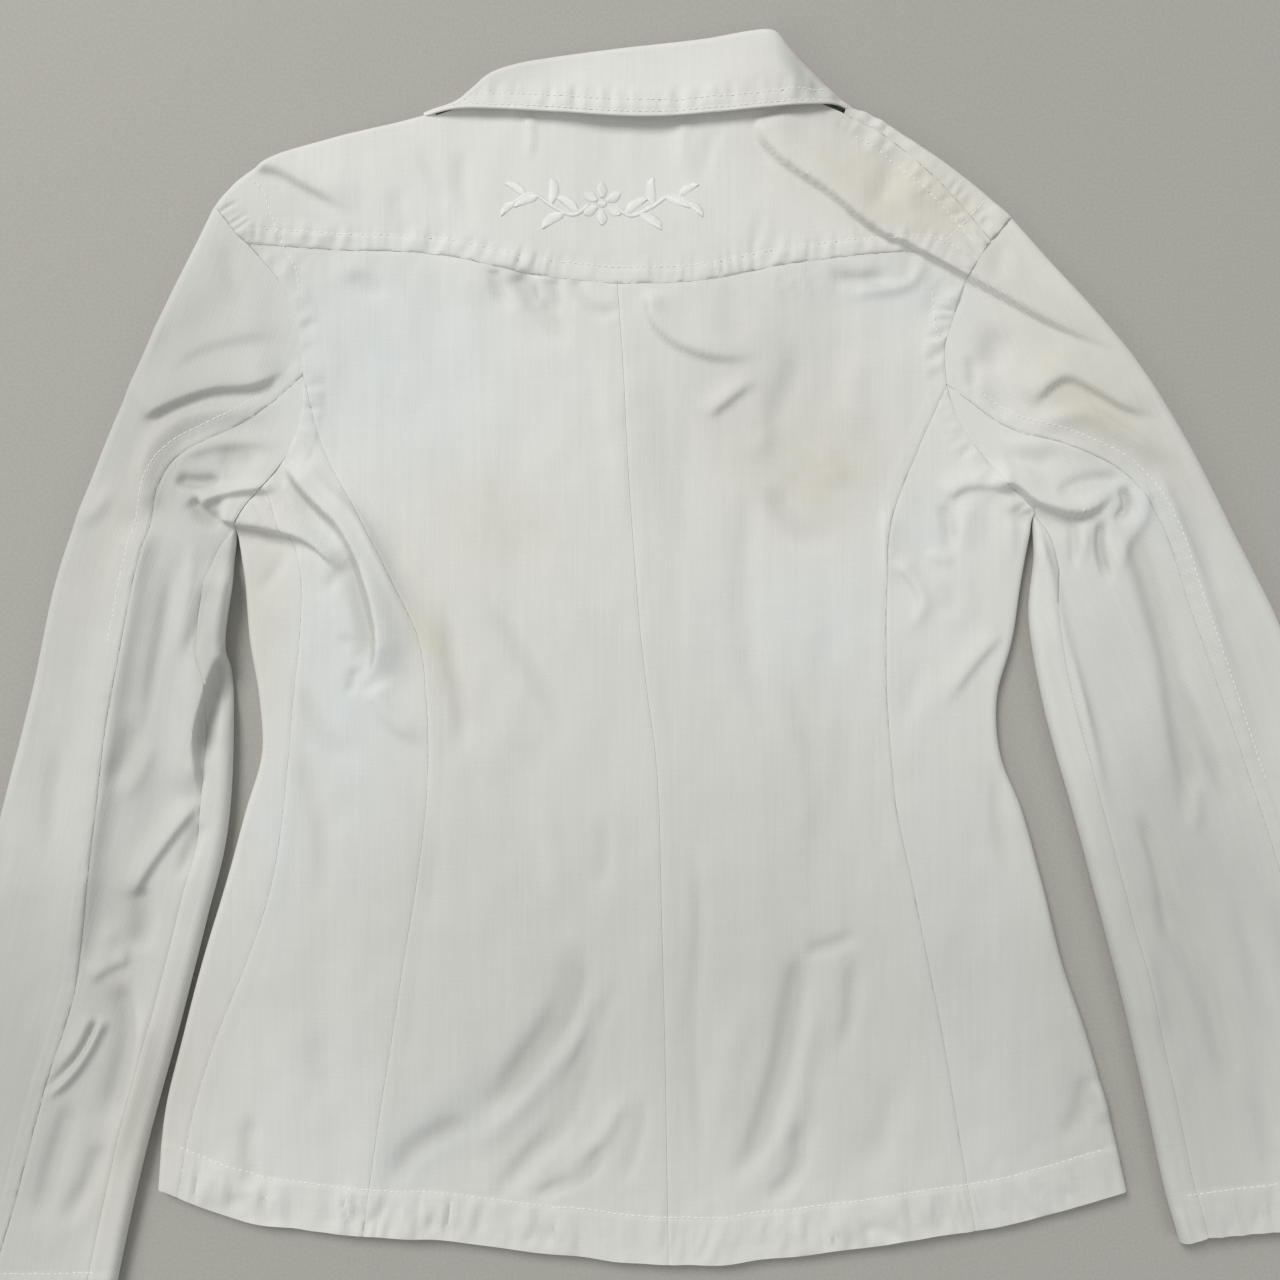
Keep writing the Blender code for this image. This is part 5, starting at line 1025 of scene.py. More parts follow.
def inset_rim(data, rim, faces, triangles):
    """Draw the border in by half a seam's gap, so that two pieces never touch."""
    count = len(data)
    keys = []
    middles = []
    for group in (faces, triangles):
        following = np.roll(group, -1, axis=1)
        keys.append((group * count + following).ravel())
        middles.append(np.repeat(data[:, :3][group].mean(axis=1), group.shape[1], axis=0))
    keys = np.concatenate(keys)
    middles = np.vstack(middles)
    order = np.argsort(keys)
    found = order[np.searchsorted(keys[order], rim[:, 0] * count + rim[:, 1])]
    start = data[rim[:, 0], :3]
    end = data[rim[:, 1], :3]
    direction = (end - start) / np.linalg.norm(end - start, axis=1)[:, None]
    inward = middles[found] - (start + end) / 2.0
    inward -= (inward * direction).sum(axis=1)[:, None] * direction
    inward /= np.maximum(np.linalg.norm(inward, axis=1), 1e-9)[:, None]
    push = np.zeros((count, 3))
    np.add.at(push, rim[:, 0], inward)
    np.add.at(push, rim[:, 1], inward)
    size = np.maximum((push ** 2).sum(axis=1) / 2.0, 0.4)
    data[:, :3] += push / size[:, None] * SEAM_INSET


def painted_fold_shade(places):
    """Painted shade: how much darker the cloth is painted in deep folds and on their steep sides."""
    here = fold_height(places)
    slope = np.hypot(fold_height(places + [1.5, 0.0]) - here, fold_height(places + [0.0, 1.5]) - here) / 1.5
    upright = 1.0 - soft_step(np.linalg.norm(fold_lean(places), axis=1) / 0.8)
    return 0.75 * upright * soft_step((slope - 0.35) / 1.3) + 0.12 * np.clip(-here - 0.4, 0.0, 3.0)


def turned_up(places):
    """1 where the cloth is turned up double, at the hem and the cuffs, and 0 elsewhere."""
    share = np.zeros(len(places))
    hem = (HEM_CORNERS[0],) + HEM_EDGE + (HEM_CORNERS[1],)
    for edge, depth in ((hem, HEM_DEPTH), (LEFT_CUFF, CUFF_DEPTH), (RIGHT_CUFF, CUFF_DEPTH)):
        near, distance, _, _ = measure(places, curve(edge), depth + 2.0)
        share[near] = soft_step((depth + 1.0 - distance) / 2.0)
    return share


def tint_and_shade_of(places):
    """How much yellow, blue and grey is in the cloth at each place. Most of the grey is painted shade, and the blue is
    partly painted shade.
    """
    tint_and_shade = np.zeros((len(places), 4))
    for x, y, length, width, turn, yellow, blue, grey in TINTS:
        angle = math.radians(turn)
        offset = places - np.array([x, y])
        far = (offset[:, 0] * math.cos(angle) + offset[:, 1] * math.sin(angle)) / length
        beside = (offset[:, 1] * math.cos(angle) - offset[:, 0] * math.sin(angle)) / width
        ripple = 0.35 * soft_noise(places[:, 0] / (0.6 * width), places[:, 1] / (0.6 * width), int(abs(x)) % 13)
        share = np.exp(-(far ** 2 + beside ** 2) * (1.0 + ripple) * 0.9)
        tint_and_shade += share[:, None] * np.array([yellow, blue, grey, 0.0])
    # The grey share is mostly painted shade. It is painted lighter on the turned-up hem and cuffs, and the painted
    # shade of the deep folds and their steep sides is added to it.
    tint_and_shade[:, 2] = tint_and_shade[:, 2] * (1.0 - 0.12 * turned_up(places)) + painted_fold_shade(places)
    tint_and_shade[:, 3] = 1.0
    return np.clip(tint_and_shade, 0.0, 1.0)


def to_model(points):
    moved = points.copy()
    moved[:, 0] -= PLAN_CENTRE[0]
    moved[:, 1] -= PLAN_CENTRE[1]
    return moved * MM


def mesh_piece(name, points, faces, material, grain=None, tint_and_shade=None, sharp=None):
    """Make an object from points in plan millimetres."""
    mesh = bpy.data.meshes.new(name)
    mesh.from_pydata(to_model(points), [], faces)
    mesh.validate()
    mesh.shade_smooth()
    if sharp is not None:
        mesh.set_sharp_from_angle(angle=math.radians(sharp))
    if grain is not None:
        layer = mesh.attributes.new("grain", "FLOAT_VECTOR", "POINT")
        layer.data.foreach_set("vector", (grain * MM).astype(np.float32).ravel())
    if tint_and_shade is not None:
        layer = mesh.attributes.new("tint_and_shade", "FLOAT_COLOR", "POINT")
        layer.data.foreach_set("color", tint_and_shade.astype(np.float32).ravel())
    mesh.materials.append(material)
    piece = bpy.data.objects.new(name, mesh)
    bpy.context.scene.collection.objects.link(piece)
    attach(piece, "root")
    return piece


def cloth_piece(name, node, grids, wall=None):
    """Make a closed shell of cloth that stands for one node of the frame."""
    wall = settings().cloth_thickness / MM if wall is None else wall
    data, faces, triangles = weld(grids)
    rim = rim_edges(faces, triangles)
    inset_rim(data, rim, faces, triangles)
    count = len(data)
    inner = data.copy()
    inner[:, :3] -= data[:, 3:6] * wall
    data[:, 2] = np.maximum(data[:, 2], 0.0)
    inner[:, 2] = np.maximum(inner[:, 2], 0.15)
    both = np.vstack([data, inner])
    sides = np.column_stack([rim[:, 1], rim[:, 0], rim[:, 0] + count, rim[:, 1] + count])
    corners = faces.tolist() + triangles.tolist() + (faces[:, ::-1] + count).tolist()
    corners += (triangles[:, ::-1] + count).tolist() + sides.tolist()
    grain = np.column_stack([both[:, 6:8], both[:, 2]])
    piece = mesh_piece(name, both[:, :3], corners, cloth_material(), grain, tint_and_shade_of(both[:, :2]), sharp=62.0)
    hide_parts(node)
    return piece


def yoke_grids(plan, cloth):
    edge = plan["left_outer"].sample(0, plan["left_shoulder_index"], shares(steps(plan["front_yoke_seam"]) + 8))
    edge = edge.reversed()
    neck = along(plan["neckline"], shares(steps(plan["neckline"])))
    front = along(plan["front_yoke_seam"], shares(steps(plan["front_yoke_seam"])))
    upper = chain(edge.inside, neck, front)
    lower = along(plan["yoke_seam"], shares(len(upper) - 1))
    rows = shares(46, 0.35)
    left_end = along(plan["left_armhole_yoke"][::-1], rows)
    right_end = along(plan["right_armhole_yoke"][::-1], rows)
    back = cloth.on_top(patch(left_end, right_end, lower, upper, v=rows))
    seam = straight(*plan["front_yoke_left"], shares(len(edge.inside) - 1))
    tab_columns = [edge.inside + (seam - edge.inside) * share for share in shares(4)]
    tab = cloth.on_table(np.stack(tab_columns, axis=1))
    return [back, cloth.roll(edge), tab]


def back_grids(plan, cloth, side):
    outer = chain(plan[side + "_armhole_back"], plan[side + "_princess"])
    centre = plan["centre"]
    hem = plan["hem"]
    end = plan["centre"][-1][0]
    outer_end = outer[-1][0]
    rows = shares(steps(centre), 0.2)
    columns = shares(82, 0.55)
    hem_x = end + (outer_end - end) * (columns if side == "right" else columns[::-1])
    lower = np.column_stack([hem_x, np.interp(hem_x, hem[:, 0], hem[:, 1])])
    upper = along(plan[side + "_yoke_seam"], columns)
    first, last = (outer, centre) if side == "left" else (centre, outer)
    return [cloth.on_top(patch(along(first, rows), along(last, rows), upper, lower, columns, rows))]


def side_back_grids(plan, cloth, side):
    hem = plan["hem"]
    rows = shares(steps(plan[side + "_princess"]), 0.2)
    princess = along(plan[side + "_princess"], rows)
    columns = shares(44, 0.4)
    if side == "left":
        first = along(plan["left_side"], rows)
        top = along(plan["left_armhole_side"][::-1], columns)
        hem_x = first[-1][0] + (princess[-1][0] - first[-1][0]) * columns
        lower = np.column_stack([hem_x, np.interp(hem_x, hem[:, 0], hem[:, 1])])
        return [cloth.on_top(patch(first, princess, top, lower, columns, rows))]
    inner = plan["right_inner"]
    edge = inner.sample(plan["right_underarm_index"], len(inner.places) - 1, rows)
    top = along(plan["right_armhole_side"], columns)
    hem_x = princess[-1][0] + (edge.inside[-1][0] - princess[-1][0]) * columns
    lower = np.column_stack([hem_x, np.interp(hem_x, hem[:, 0], hem[:, 1])])
    return [cloth.on_top(patch(princess, edge.inside, top, lower, columns, rows)), cloth.roll(edge)]


def hem_between(plan, start_x, end_x, wanted):
    hem_x = start_x + (end_x - start_x) * wanted
    return np.column_stack([hem_x, np.interp(hem_x, plan["hem"][:, 0], plan["hem"][:, 1])])


def left_front_grids(plan, cloth):
    inner = plan["left_inner"]
    rows = shares(steps(plan["left_side"]), 0.2)
    edge = inner.sample(plan["left_underarm_index"], len(inner.places) - 1, rows)
    side_seam = along(plan["left_side"], rows)
    columns = shares(18, 0.3)
    top = along(plan["left_armhole_under"][::-1], columns)
    lower = hem_between(plan, edge.inside[-1][0], side_seam[-1][0], columns)
    strip = cloth.on_top(patch(edge.inside, side_seam, top, lower, columns, rows))
    # The half on the table, up to the centre, and above it up to the yoke.
    wide = shares(28)
    hem = hem_between(plan, edge.inside[-1][0], FRONT_OVERLAP, wide)
    centre = straight((FRONT_OVERLAP, edge.inside[0][1]), hem[-1], rows)
    level = straight(edge.inside[0], centre[0], wide)
    under = cloth.on_table(patch(edge.inside, centre, level, hem, wide, rows), overlap=True)
    seam = straight(*plan["front_yoke_left"], shares(60))
    neck_low = np.array((FRONT_OVERLAP, 205.0))
    neckline = curve((tuple(seam[-1]), (-55.0, 222.0), tuple(neck_low)))
    upper_rows = shares(22)
    end = along(chain(seam, neckline), wide)
    upper = patch(along(plan["left_front_armhole"], upper_rows), straight(centre[0], neck_low, upper_rows),
                  level, end, wide, upper_rows)
    return [strip, cloth.roll(edge), under, cloth.on_table(upper, overlap=True)]


def right_front_grids(plan, cloth):
    inner = plan["right_inner"]
    rows = shares(90)
    edge = inner.sample(plan["right_underarm_index"], len(inner.places) - 1, rows)
    outer = plan["right_outer"]
    count = steps(plan["front_yoke_seam"], 1.3)
    over = outer.sample(0, plan["right_shoulder_index"], shares(count))
    neck_low = np.array((-FRONT_OVERLAP, 205.0))
    neckline = along(curve((tuple(neck_low), (52.0, 222.0), tuple(over.inside[0]))), shares(14))
    end = chain(neckline, over.inside)
    wide = shares(len(end) - 1)
    hem = hem_between(plan, -FRONT_OVERLAP, edge.inside[-1][0], wide)
    centre = straight((-FRONT_OVERLAP, edge.inside[0][1]), hem[0], rows)
    level = straight(centre[0], edge.inside[0], wide)
    under = cloth.on_table(patch(centre, edge.inside, level, hem, wide, rows))
    upper_rows = shares(22)
    upper = patch(straight(centre[0], neck_low, upper_rows), along(plan["right_front_armhole"], upper_rows),
                  level, end, wide, upper_rows)
    across = shares(9, 0.3)
    seam = along(plan["front_yoke_seam"][::-1], shares(count))
    strip = patch(along(plan["right_armhole_front"], across), straight(over.inside[0], seam[-1], across),
                  over.inside[::-1], seam, shares(count), across)
    return [under, cloth.on_table(upper), cloth.roll(over), cloth.on_top(strip)]


def sleeve_grids(plan, cloth, side, cuff):
    """Return the grids of a top sleeve and an under sleeve."""
    outer = plan[side + "_outer"]
    inner = plan[side + "_inner"]
    start = plan[side + "_shoulder_index"]
    underarm = plan[side + "_underarm_index"]
    inner_rows = int(round(path_lengths(inner.places[:underarm + 1])[-1] / 1.95))
    fan_rows = int(inner_rows / 5.5)
    rows = shares(inner_rows + fan_rows)
    edge = outer.sample(start, len(outer.places) - 1, rows)
    back_seam = along(plan[side + "_back_seam"], rows)
    inner_edge = inner.sample(0, underarm, shares(inner_rows)).reversed()
    drift = np.clip(shares(inner_rows) * path_lengths(inner_edge.places)[-1] / 28.0, 0.0, 1.0)[:, None]
    inner_seam = inner_edge.inside - inner_edge.outward * drift * INNER_SEAM_INSET
    if side == "left":
        cap = chain(plan["left_armhole_yoke"], plan["left_armhole_back"])
        under = chain(plan["left_armhole_side"], plan["left_armhole_under"])
        front = np.vstack([edge.inside[:1], plan["left_front_armhole"][::-1]])
    else:
        cap = chain(plan["right_armhole_front"], plan["right_armhole_yoke"], plan["right_armhole_back"])
        under = plan["right_armhole_side"]
        front = plan["right_front_armhole"][::-1]
    across = shares(50, 0.3)
    cap = along(cap, across)
    cap[0] = edge.inside[0]
    top = cloth.on_top(patch(edge.inside, back_seam, cap, straight(edge.inside[-1], back_seam[-1], across),
                             across, rows))
    under_across = shares(46, 0.3)
    under_plan = fanned_patch(back_seam, inner_seam, along(under, under_across),
                              straight(back_seam[-1], inner_seam[-1], under_across), under_across)
    strip_columns = [inner_seam + (inner_edge.inside - inner_seam) * share for share in shares(5)]
    strip = cloth.on_top(np.stack(strip_columns, axis=1))
    wide = shares(14)
    low_plan = fanned_patch(edge.inside, inner_edge.inside, along(front, wide),
                            straight(edge.inside[-1], inner_edge.inside[-1], wide), wide)
    top_sleeve = [top, cloth.roll(edge), cloth.on_table(low_plan), cloth.roll(inner_edge), strip]
    return top_sleeve, [cloth.on_top(under_plan)]


def fall_height(places, body):
    """The fall's upper face, where it isn't lifted, lies this high on the yoke and over its folds."""
    flat = BODY_HEIGHT + 0.7 * OVERLAP_RAISE + COLLAR_STEP
    return soft_max(body.coarse(places) + 2.0 + COLLAR_CLEARANCE, flat, 0.5)


def collar_grids(plan, body):
    """Return the grids of the fall, folded over all round the neck, and of the stand inside it."""
    tips = [np.array(tip) for tip in COLLAR_TIPS]
    fold = curve((tips[0],) + COLLAR_FOLD + (tips[1],))
    columns = shares(steps(fold, 1.6))
    places = along(fold, columns)
    direction = np.gradient(places, axis=0)
    direction /= np.linalg.norm(direction, axis=1)[:, None]
    outward = np.column_stack([-direction[:, 1], direction[:, 0]])
    width_share = np.abs(2.0 * columns - 1.0)
    edge = Edge(places, outward, COLLAR_ROLL - 1.2 * width_share ** 6)
    left_end = places[0] - COLLAR_TIP_WIDTH * edge.outward[0]
    right_end = places[-1] - COLLAR_TIP_WIDTH * edge.outward[-1]
    loose = along(curve((tuple(left_end),) + COLLAR_EDGE + (tuple(right_end),)), columns)
    rows = shares(26, 0.2)
    leaf_plan = patch(straight(loose[0], edge.inside[0], rows), straight(loose[-1], edge.inside[-1], rows),
                      loose, edge.inside, columns, rows)
    flat = leaf_plan.reshape(-1, 2)
    lift = soft_step(1.0 - rows)[:, None] * (1.0 - width_share[None, :] ** 4)
    high = fall_height(flat, body).reshape(leaf_plan.shape[:2]) + COLLAR_LIFT * lift
    high += collar_relief(flat, loose).reshape(leaf_plan.shape[:2])
    high -= COLLAR_END_FALL * width_share[None, :] ** 14
    leaf = flat_grid(leaf_plan, high, 1.0)
    grain = np.column_stack([edge.inside, np.zeros(len(places))])
    roll = body.roll(edge, low=np.zeros(len(places)), high=leaf[-1, :, 2], leaning=False)
    first = int(np.argmin(np.abs(places[:, 0] + 78.0)))
    last = int(np.argmin(np.abs(places[:, 0] - 82.0)))
    within = slice(first, last + 1)
    hidden = edge.inside[within] - 4.0 * edge.outward[within]
    turn_plan = np.stack([edge.inside[within], (edge.inside[within] + hidden) / 2.0, hidden], axis=1)
    turn = flat_grid(turn_plan, np.zeros(turn_plan.shape[:2]), -1.0)
    left_leaf = collar_leaf(edge.inside[:first + 1], (-84.0, 222.0), (-64.0, 238.0))
    right_leaf = collar_leaf(edge.inside[last:][::-1], (84.0, 222.0), (64.0, 238.0))
    fall = [leaf, roll, turn, left_leaf, right_leaf]

    plan["collar_leaf"] = leaf[:, :, :3]
    seam = along(plan["stand_seam"], shares(len(hidden) - 1))
    stand_rows = shares(10)
    stand_plan = patch(straight(hidden[0], seam[0], stand_rows), straight(hidden[-1], seam[-1], stand_rows),
                       hidden, seam, shares(len(hidden) - 1), stand_rows)
    climb = soft_step(stand_rows)[:, None]
    stand_high = 2.0 + climb * (body.height(seam)[None, :] - 2.0)
    return fall, [flat_grid(stand_plan, stand_high, 1.0)]


def collar_relief(places, loose):
    """Ridges, stitches and puckers along the fall's loose edge, and the soft crease across its right end."""
    relief = np.zeros(len(places))
    near, distance, length, _ = measure(places, loose, 22.0)
    wave = soft_noise(length / 4.6, 0.0, 41) + 0.5 * soft_noise(length / 2.4, distance / 8.0, 42)
    relief[near] += 0.95 * wave * np.sin(math.pi * np.clip(distance / 16.0, 0.0, 1.0)) ** 0.8
    relief[near] -= 0.30 * np.exp(-((distance - 2.2) / 0.8) ** 2)
    relief[near] -= 0.30 * np.exp(-((distance - 8.5) / 0.9) ** 2)
    relief += 0.5 * soft_noise(places[:, 0] / 24.0, places[:, 1] / 30.0, 43)
    for path, rise, width in COLLAR_CREASES:
        near, distance, length, side = measure(places, along(curve(path), shares(12)), 3.0 * width)
        relief[near] += rise * np.exp(-(distance / width) ** 2)
    return relief


def flat_grid(grid, height, up):
    rows, columns, _ = grid.shape
    full = np.zeros((rows, columns, 8))
    full[:, :, :2] = grid
    full[:, :, 2] = height
    full[:, :, 5] = up
    full[:, :, 6:8] = grid
    return full


def collar_leaf(inside, outer_point, inner_point):
    """The front leaf of the fall, on the table, from the fold at the neck side to its point."""
    rows = shares(8)
    end = straight(outer_point, inner_point, shares(len(inside) - 1))
    first = straight(inside[0], outer_point, rows)
    bend = (math.copysign(91.0, inner_point[0]), 270.0)
    last = along(curve((tuple(inside[-1]), bend, inner_point)), rows)
    leaf = patch(first, last, inside, end, shares(len(inside) - 1), rows)
    return flat_grid(leaf, np.zeros(leaf.shape[:2]), -1.0)


def thread_template(rings, sides):
    """Rings of a short thread: shares of its length, heights and thicknesses in its own units."""
    points = []
    for share, rise, thick in rings:
        for side in range(sides):
            angle = 2.0 * math.pi * side / sides
            points.append((share, math.cos(angle) * thick, rise + math.sin(angle) * thick * 0.8))
    faces = []
    for ring in range(len(rings) - 1):
        for side in range(sides):
            first = ring * sides + side
            second = ring * sides + (side + 1) % sides
            faces.append((first, second, second + sides, first + sides))
    faces.append(tuple(range(sides))[::-1])
    faces.append(tuple(range((len(rings) - 1) * sides, len(rings) * sides)))
    return np.array(points), faces


def lay_threads(starts, ends, template, faces):
    """Copy the template between each start and end. Returns the points and faces of them all."""
    span = ends - starts
    length = np.linalg.norm(span, axis=1)
    direction = span / length[:, None]
    across = np.column_stack([-direction[:, 1], direction[:, 0], np.zeros(len(span))])
    across /= np.linalg.norm(across, axis=1)[:, None]
    points = (starts[:, None, :] + template[None, :, :1] * span[:, None, :]
              + template[None, :, 1:2] * across[:, None, :])
    points[:, :, 2] += template[None, :, 2]
    size = len(template)
    all_faces = []
    for index in range(len(starts)):
        base = index * size
        all_faces.extend([tuple(corner + base for corner in face) for face in faces])
    return points.reshape(-1, 3), all_faces


STITCH_RINGS = ((0.0, -0.22, 0.10), (0.14, -0.02, 0.20), (0.5, 0.07, 0.22), (0.86, -0.02, 0.20), (1.0, -0.22, 0.10))


def set_on(places, height_of, raised=0.0):
    """Put places of the plan on the cloth."""
    return np.column_stack([places + fold_lean(places), height_of(places) + raised])


def stitch_row(path, length, pitch, seed):
    """Starts and ends of the stitches along a path on the cloth, each a little uneven."""
    total = path_lengths(path)[-1]
    count = int(total / pitch)
    rng = np.random.RandomState(seed)
    begin = (np.arange(count) + 0.1 + 0.10 * rng.uniform(-1.0, 1.0, count)) * pitch
    finish = np.minimum(begin + length * (1.0 + 0.08 * rng.uniform(-1.0, 1.0, count)), total)
    side = 0.10 * rng.uniform(-1.0, 1.0, (count, 3)) * np.array([1.0, 1.0, 0.3])
    side[:, 2] += STITCH_HEIGHT
    return along(path, begin / total) + side, along(path, finish / total) + side


def beside_collar_edge(leaf, distance):
    """A path on the fall, at this distance from its loose edge."""
    lengths = np.linalg.norm(np.diff(leaf, axis=0), axis=2).cumsum(axis=0)
    lengths = np.vstack([np.zeros((1, leaf.shape[1])), lengths])
    places = [[np.interp(distance, lengths[:, column], leaf[:, column, axis]) for axis in range(3)]
              for column in range(leaf.shape[1])]
    count = len(places)
    return np.array(places[int(0.06 * count):int(0.94 * count)])


def thread_piece(name, rows, material_name="thread"):
    starts = np.vstack([row[0] for row in rows])
    ends = np.vstack([row[1] for row in rows])
    template, faces = thread_template(STITCH_RINGS, 5)
    scale = settings().thread_thickness / MM / 0.42
    template = template * np.array([1.0, scale, scale])
    points, all_faces = lay_threads(starts, ends, template, faces)
    piece = mesh_piece(name, points, all_faces, thread_material())
    return piece


SATIN_RINGS = ((0.0, -0.10, 0.14), (0.10, 0.16, 0.22), (0.30, 0.40, 0.25), (0.5, 0.48, 0.25),
               (0.70, 0.40, 0.25), (0.90, 0.16, 0.22), (1.0, -0.10, 0.14))


def satin_shape(spine, widths, slant, pitch):
    """Cover a shape with threads side by side, laid across its spine at a slant."""
    total = path_lengths(spine)[-1]
    count = max(int(total / pitch), 2)
    wanted = (np.arange(count) + 0.5) / count
    places = along(spine, wanted)
    direction = np.gradient(along(spine, wanted), axis=0)
    direction /= np.linalg.norm(direction, axis=1)[:, None]
    normal = np.column_stack([-direction[:, 1], direction[:, 0]])
    half = np.interp(wanted, np.linspace(0.0, 1.0, len(widths)), widths)[:, None] / 2.0
    lean = math.tan(math.radians(slant))
    starts = places - normal * half - direction * half * lean
    ends = places + normal * half + direction * half * lean
    return starts, ends


def garland():
    """A small garland of leaves on two wavy stems, with a round flower in the middle."""
    x0, y0 = GARLAND_CENTRE
    shapes = []
    for side in (-1.0, 1.0):
        stem = curve([(x0 + side * x, y0 + y) for x, y in GARLAND_STEM])
        shapes.append(satin_shape(stem, (2.2, 2.4, 2.2), 35.0, 0.44))
        for share, angle, length, width in GARLAND_LEAVES:
            foot = along(stem, np.array([share]))[0]
            ahead = along(stem, np.array([min(share + 0.03, 1.0)]))[0] - along(stem, np.array([share - 0.03]))[0]
            turn = math.atan2(ahead[1], ahead[0]) + side * math.radians(angle)
            tip = foot + length * np.array([math.cos(turn), math.sin(turn)])
            bend = (foot + tip) / 2.0 + side * 0.10 * length * np.array([-math.sin(turn), math.cos(turn)])
            spine = curve((tuple(foot), tuple(bend), tuple(tip)), 0.5)
            shapes.append(satin_shape(spine, (0.5, 0.8 * width, width, 0.85 * width, 0.4), 30.0 * side, 0.40))
    for petal in range(6):
        turn = math.radians(60.0 * petal + 30.0)
        inner = np.array([x0, y0]) + 3.2 * np.array([math.cos(turn), math.sin(turn)])
        outer = np.array([x0, y0]) + 11.0 * np.array([math.cos(turn), math.sin(turn)])
        spine = straight(inner, outer, shares(10))
        shapes.append(satin_shape(spine, (2.2, 4.8, 6.2, 5.4, 1.8), 8.0, 0.40))
    heart = straight((x0 - 2.2, y0), (x0 + 2.2, y0), shares(8))
    shapes.append(satin_shape(heart, (1.8, 3.9, 4.4, 3.9, 1.8), 0.0, 0.40))
    return shapes


def node(tree, kind, place, **values):
    made = tree.nodes.new(kind)
    made.location = (place[0] * 190.0, place[1] * -210.0)
    for name, value in values.items():
        if name in made.inputs:
            made.inputs[name].default_value = value
        else:
            setattr(made, name, value)
    return made


def link(tree, source, target):
    tree.links.new(source, target)


def noise_along(tree, source, place, stretch, detail=2.0, roughness=0.5):
    """Noise on the cloth's own coordinates, stretched along or across its threads."""
    mapping = node(tree, "ShaderNodeMapping", place)
    mapping.inputs["Scale"].default_value = stretch
    texture = node(tree, "ShaderNodeTexNoise", (place[0] + 1, place[1]), Scale=1.0, Detail=detail,
                   Roughness=roughness)
    link(tree, source, mapping.inputs["Vector"])
    link(tree, mapping.outputs["Vector"], texture.inputs["Vector"])
    return texture.outputs["Fac"]


def scaled(tree, source, place, low, high, start=0.3, stop=0.7):
    spread = node(tree, "ShaderNodeMapRange", place)
    spread.inputs["From Min"].default_value = start
    spread.inputs["From Max"].default_value = stop
    spread.inputs["To Min"].default_value = low
    spread.inputs["To Max"].default_value = high
    link(tree, source, spread.inputs["Value"])
    return spread.outputs["Result"]


def joined(tree, place, operation, first, second):
    made = node(tree, "ShaderNodeMath", place, operation=operation)
    for socket, value in zip(made.inputs, (first, second)):
        if isinstance(value, float):
            socket.default_value = value
        else:
            link(tree, value, socket)
    return made.outputs["Value"]


def blended(tree, place, factor, first, second, kind="MIX"):
    made = node(tree, "ShaderNodeMix", place, data_type="RGBA", blend_type=kind)
    made.clamp_factor = True
    for socket, value in ((made.inputs["Factor"], factor), (made.inputs["A"], first), (made.inputs["B"], second)):
        pass
    pairs = ((0, factor), (6, first), (7, second))
    for index, value in pairs:
        if isinstance(value, (float, tuple)):
            made.inputs[index].default_value = value
        else:
            link(tree, value, made.inputs[index])
    return made.outputs[2]


def colour_of(value):
    return (value[0], value[1], value[2], 1.0)


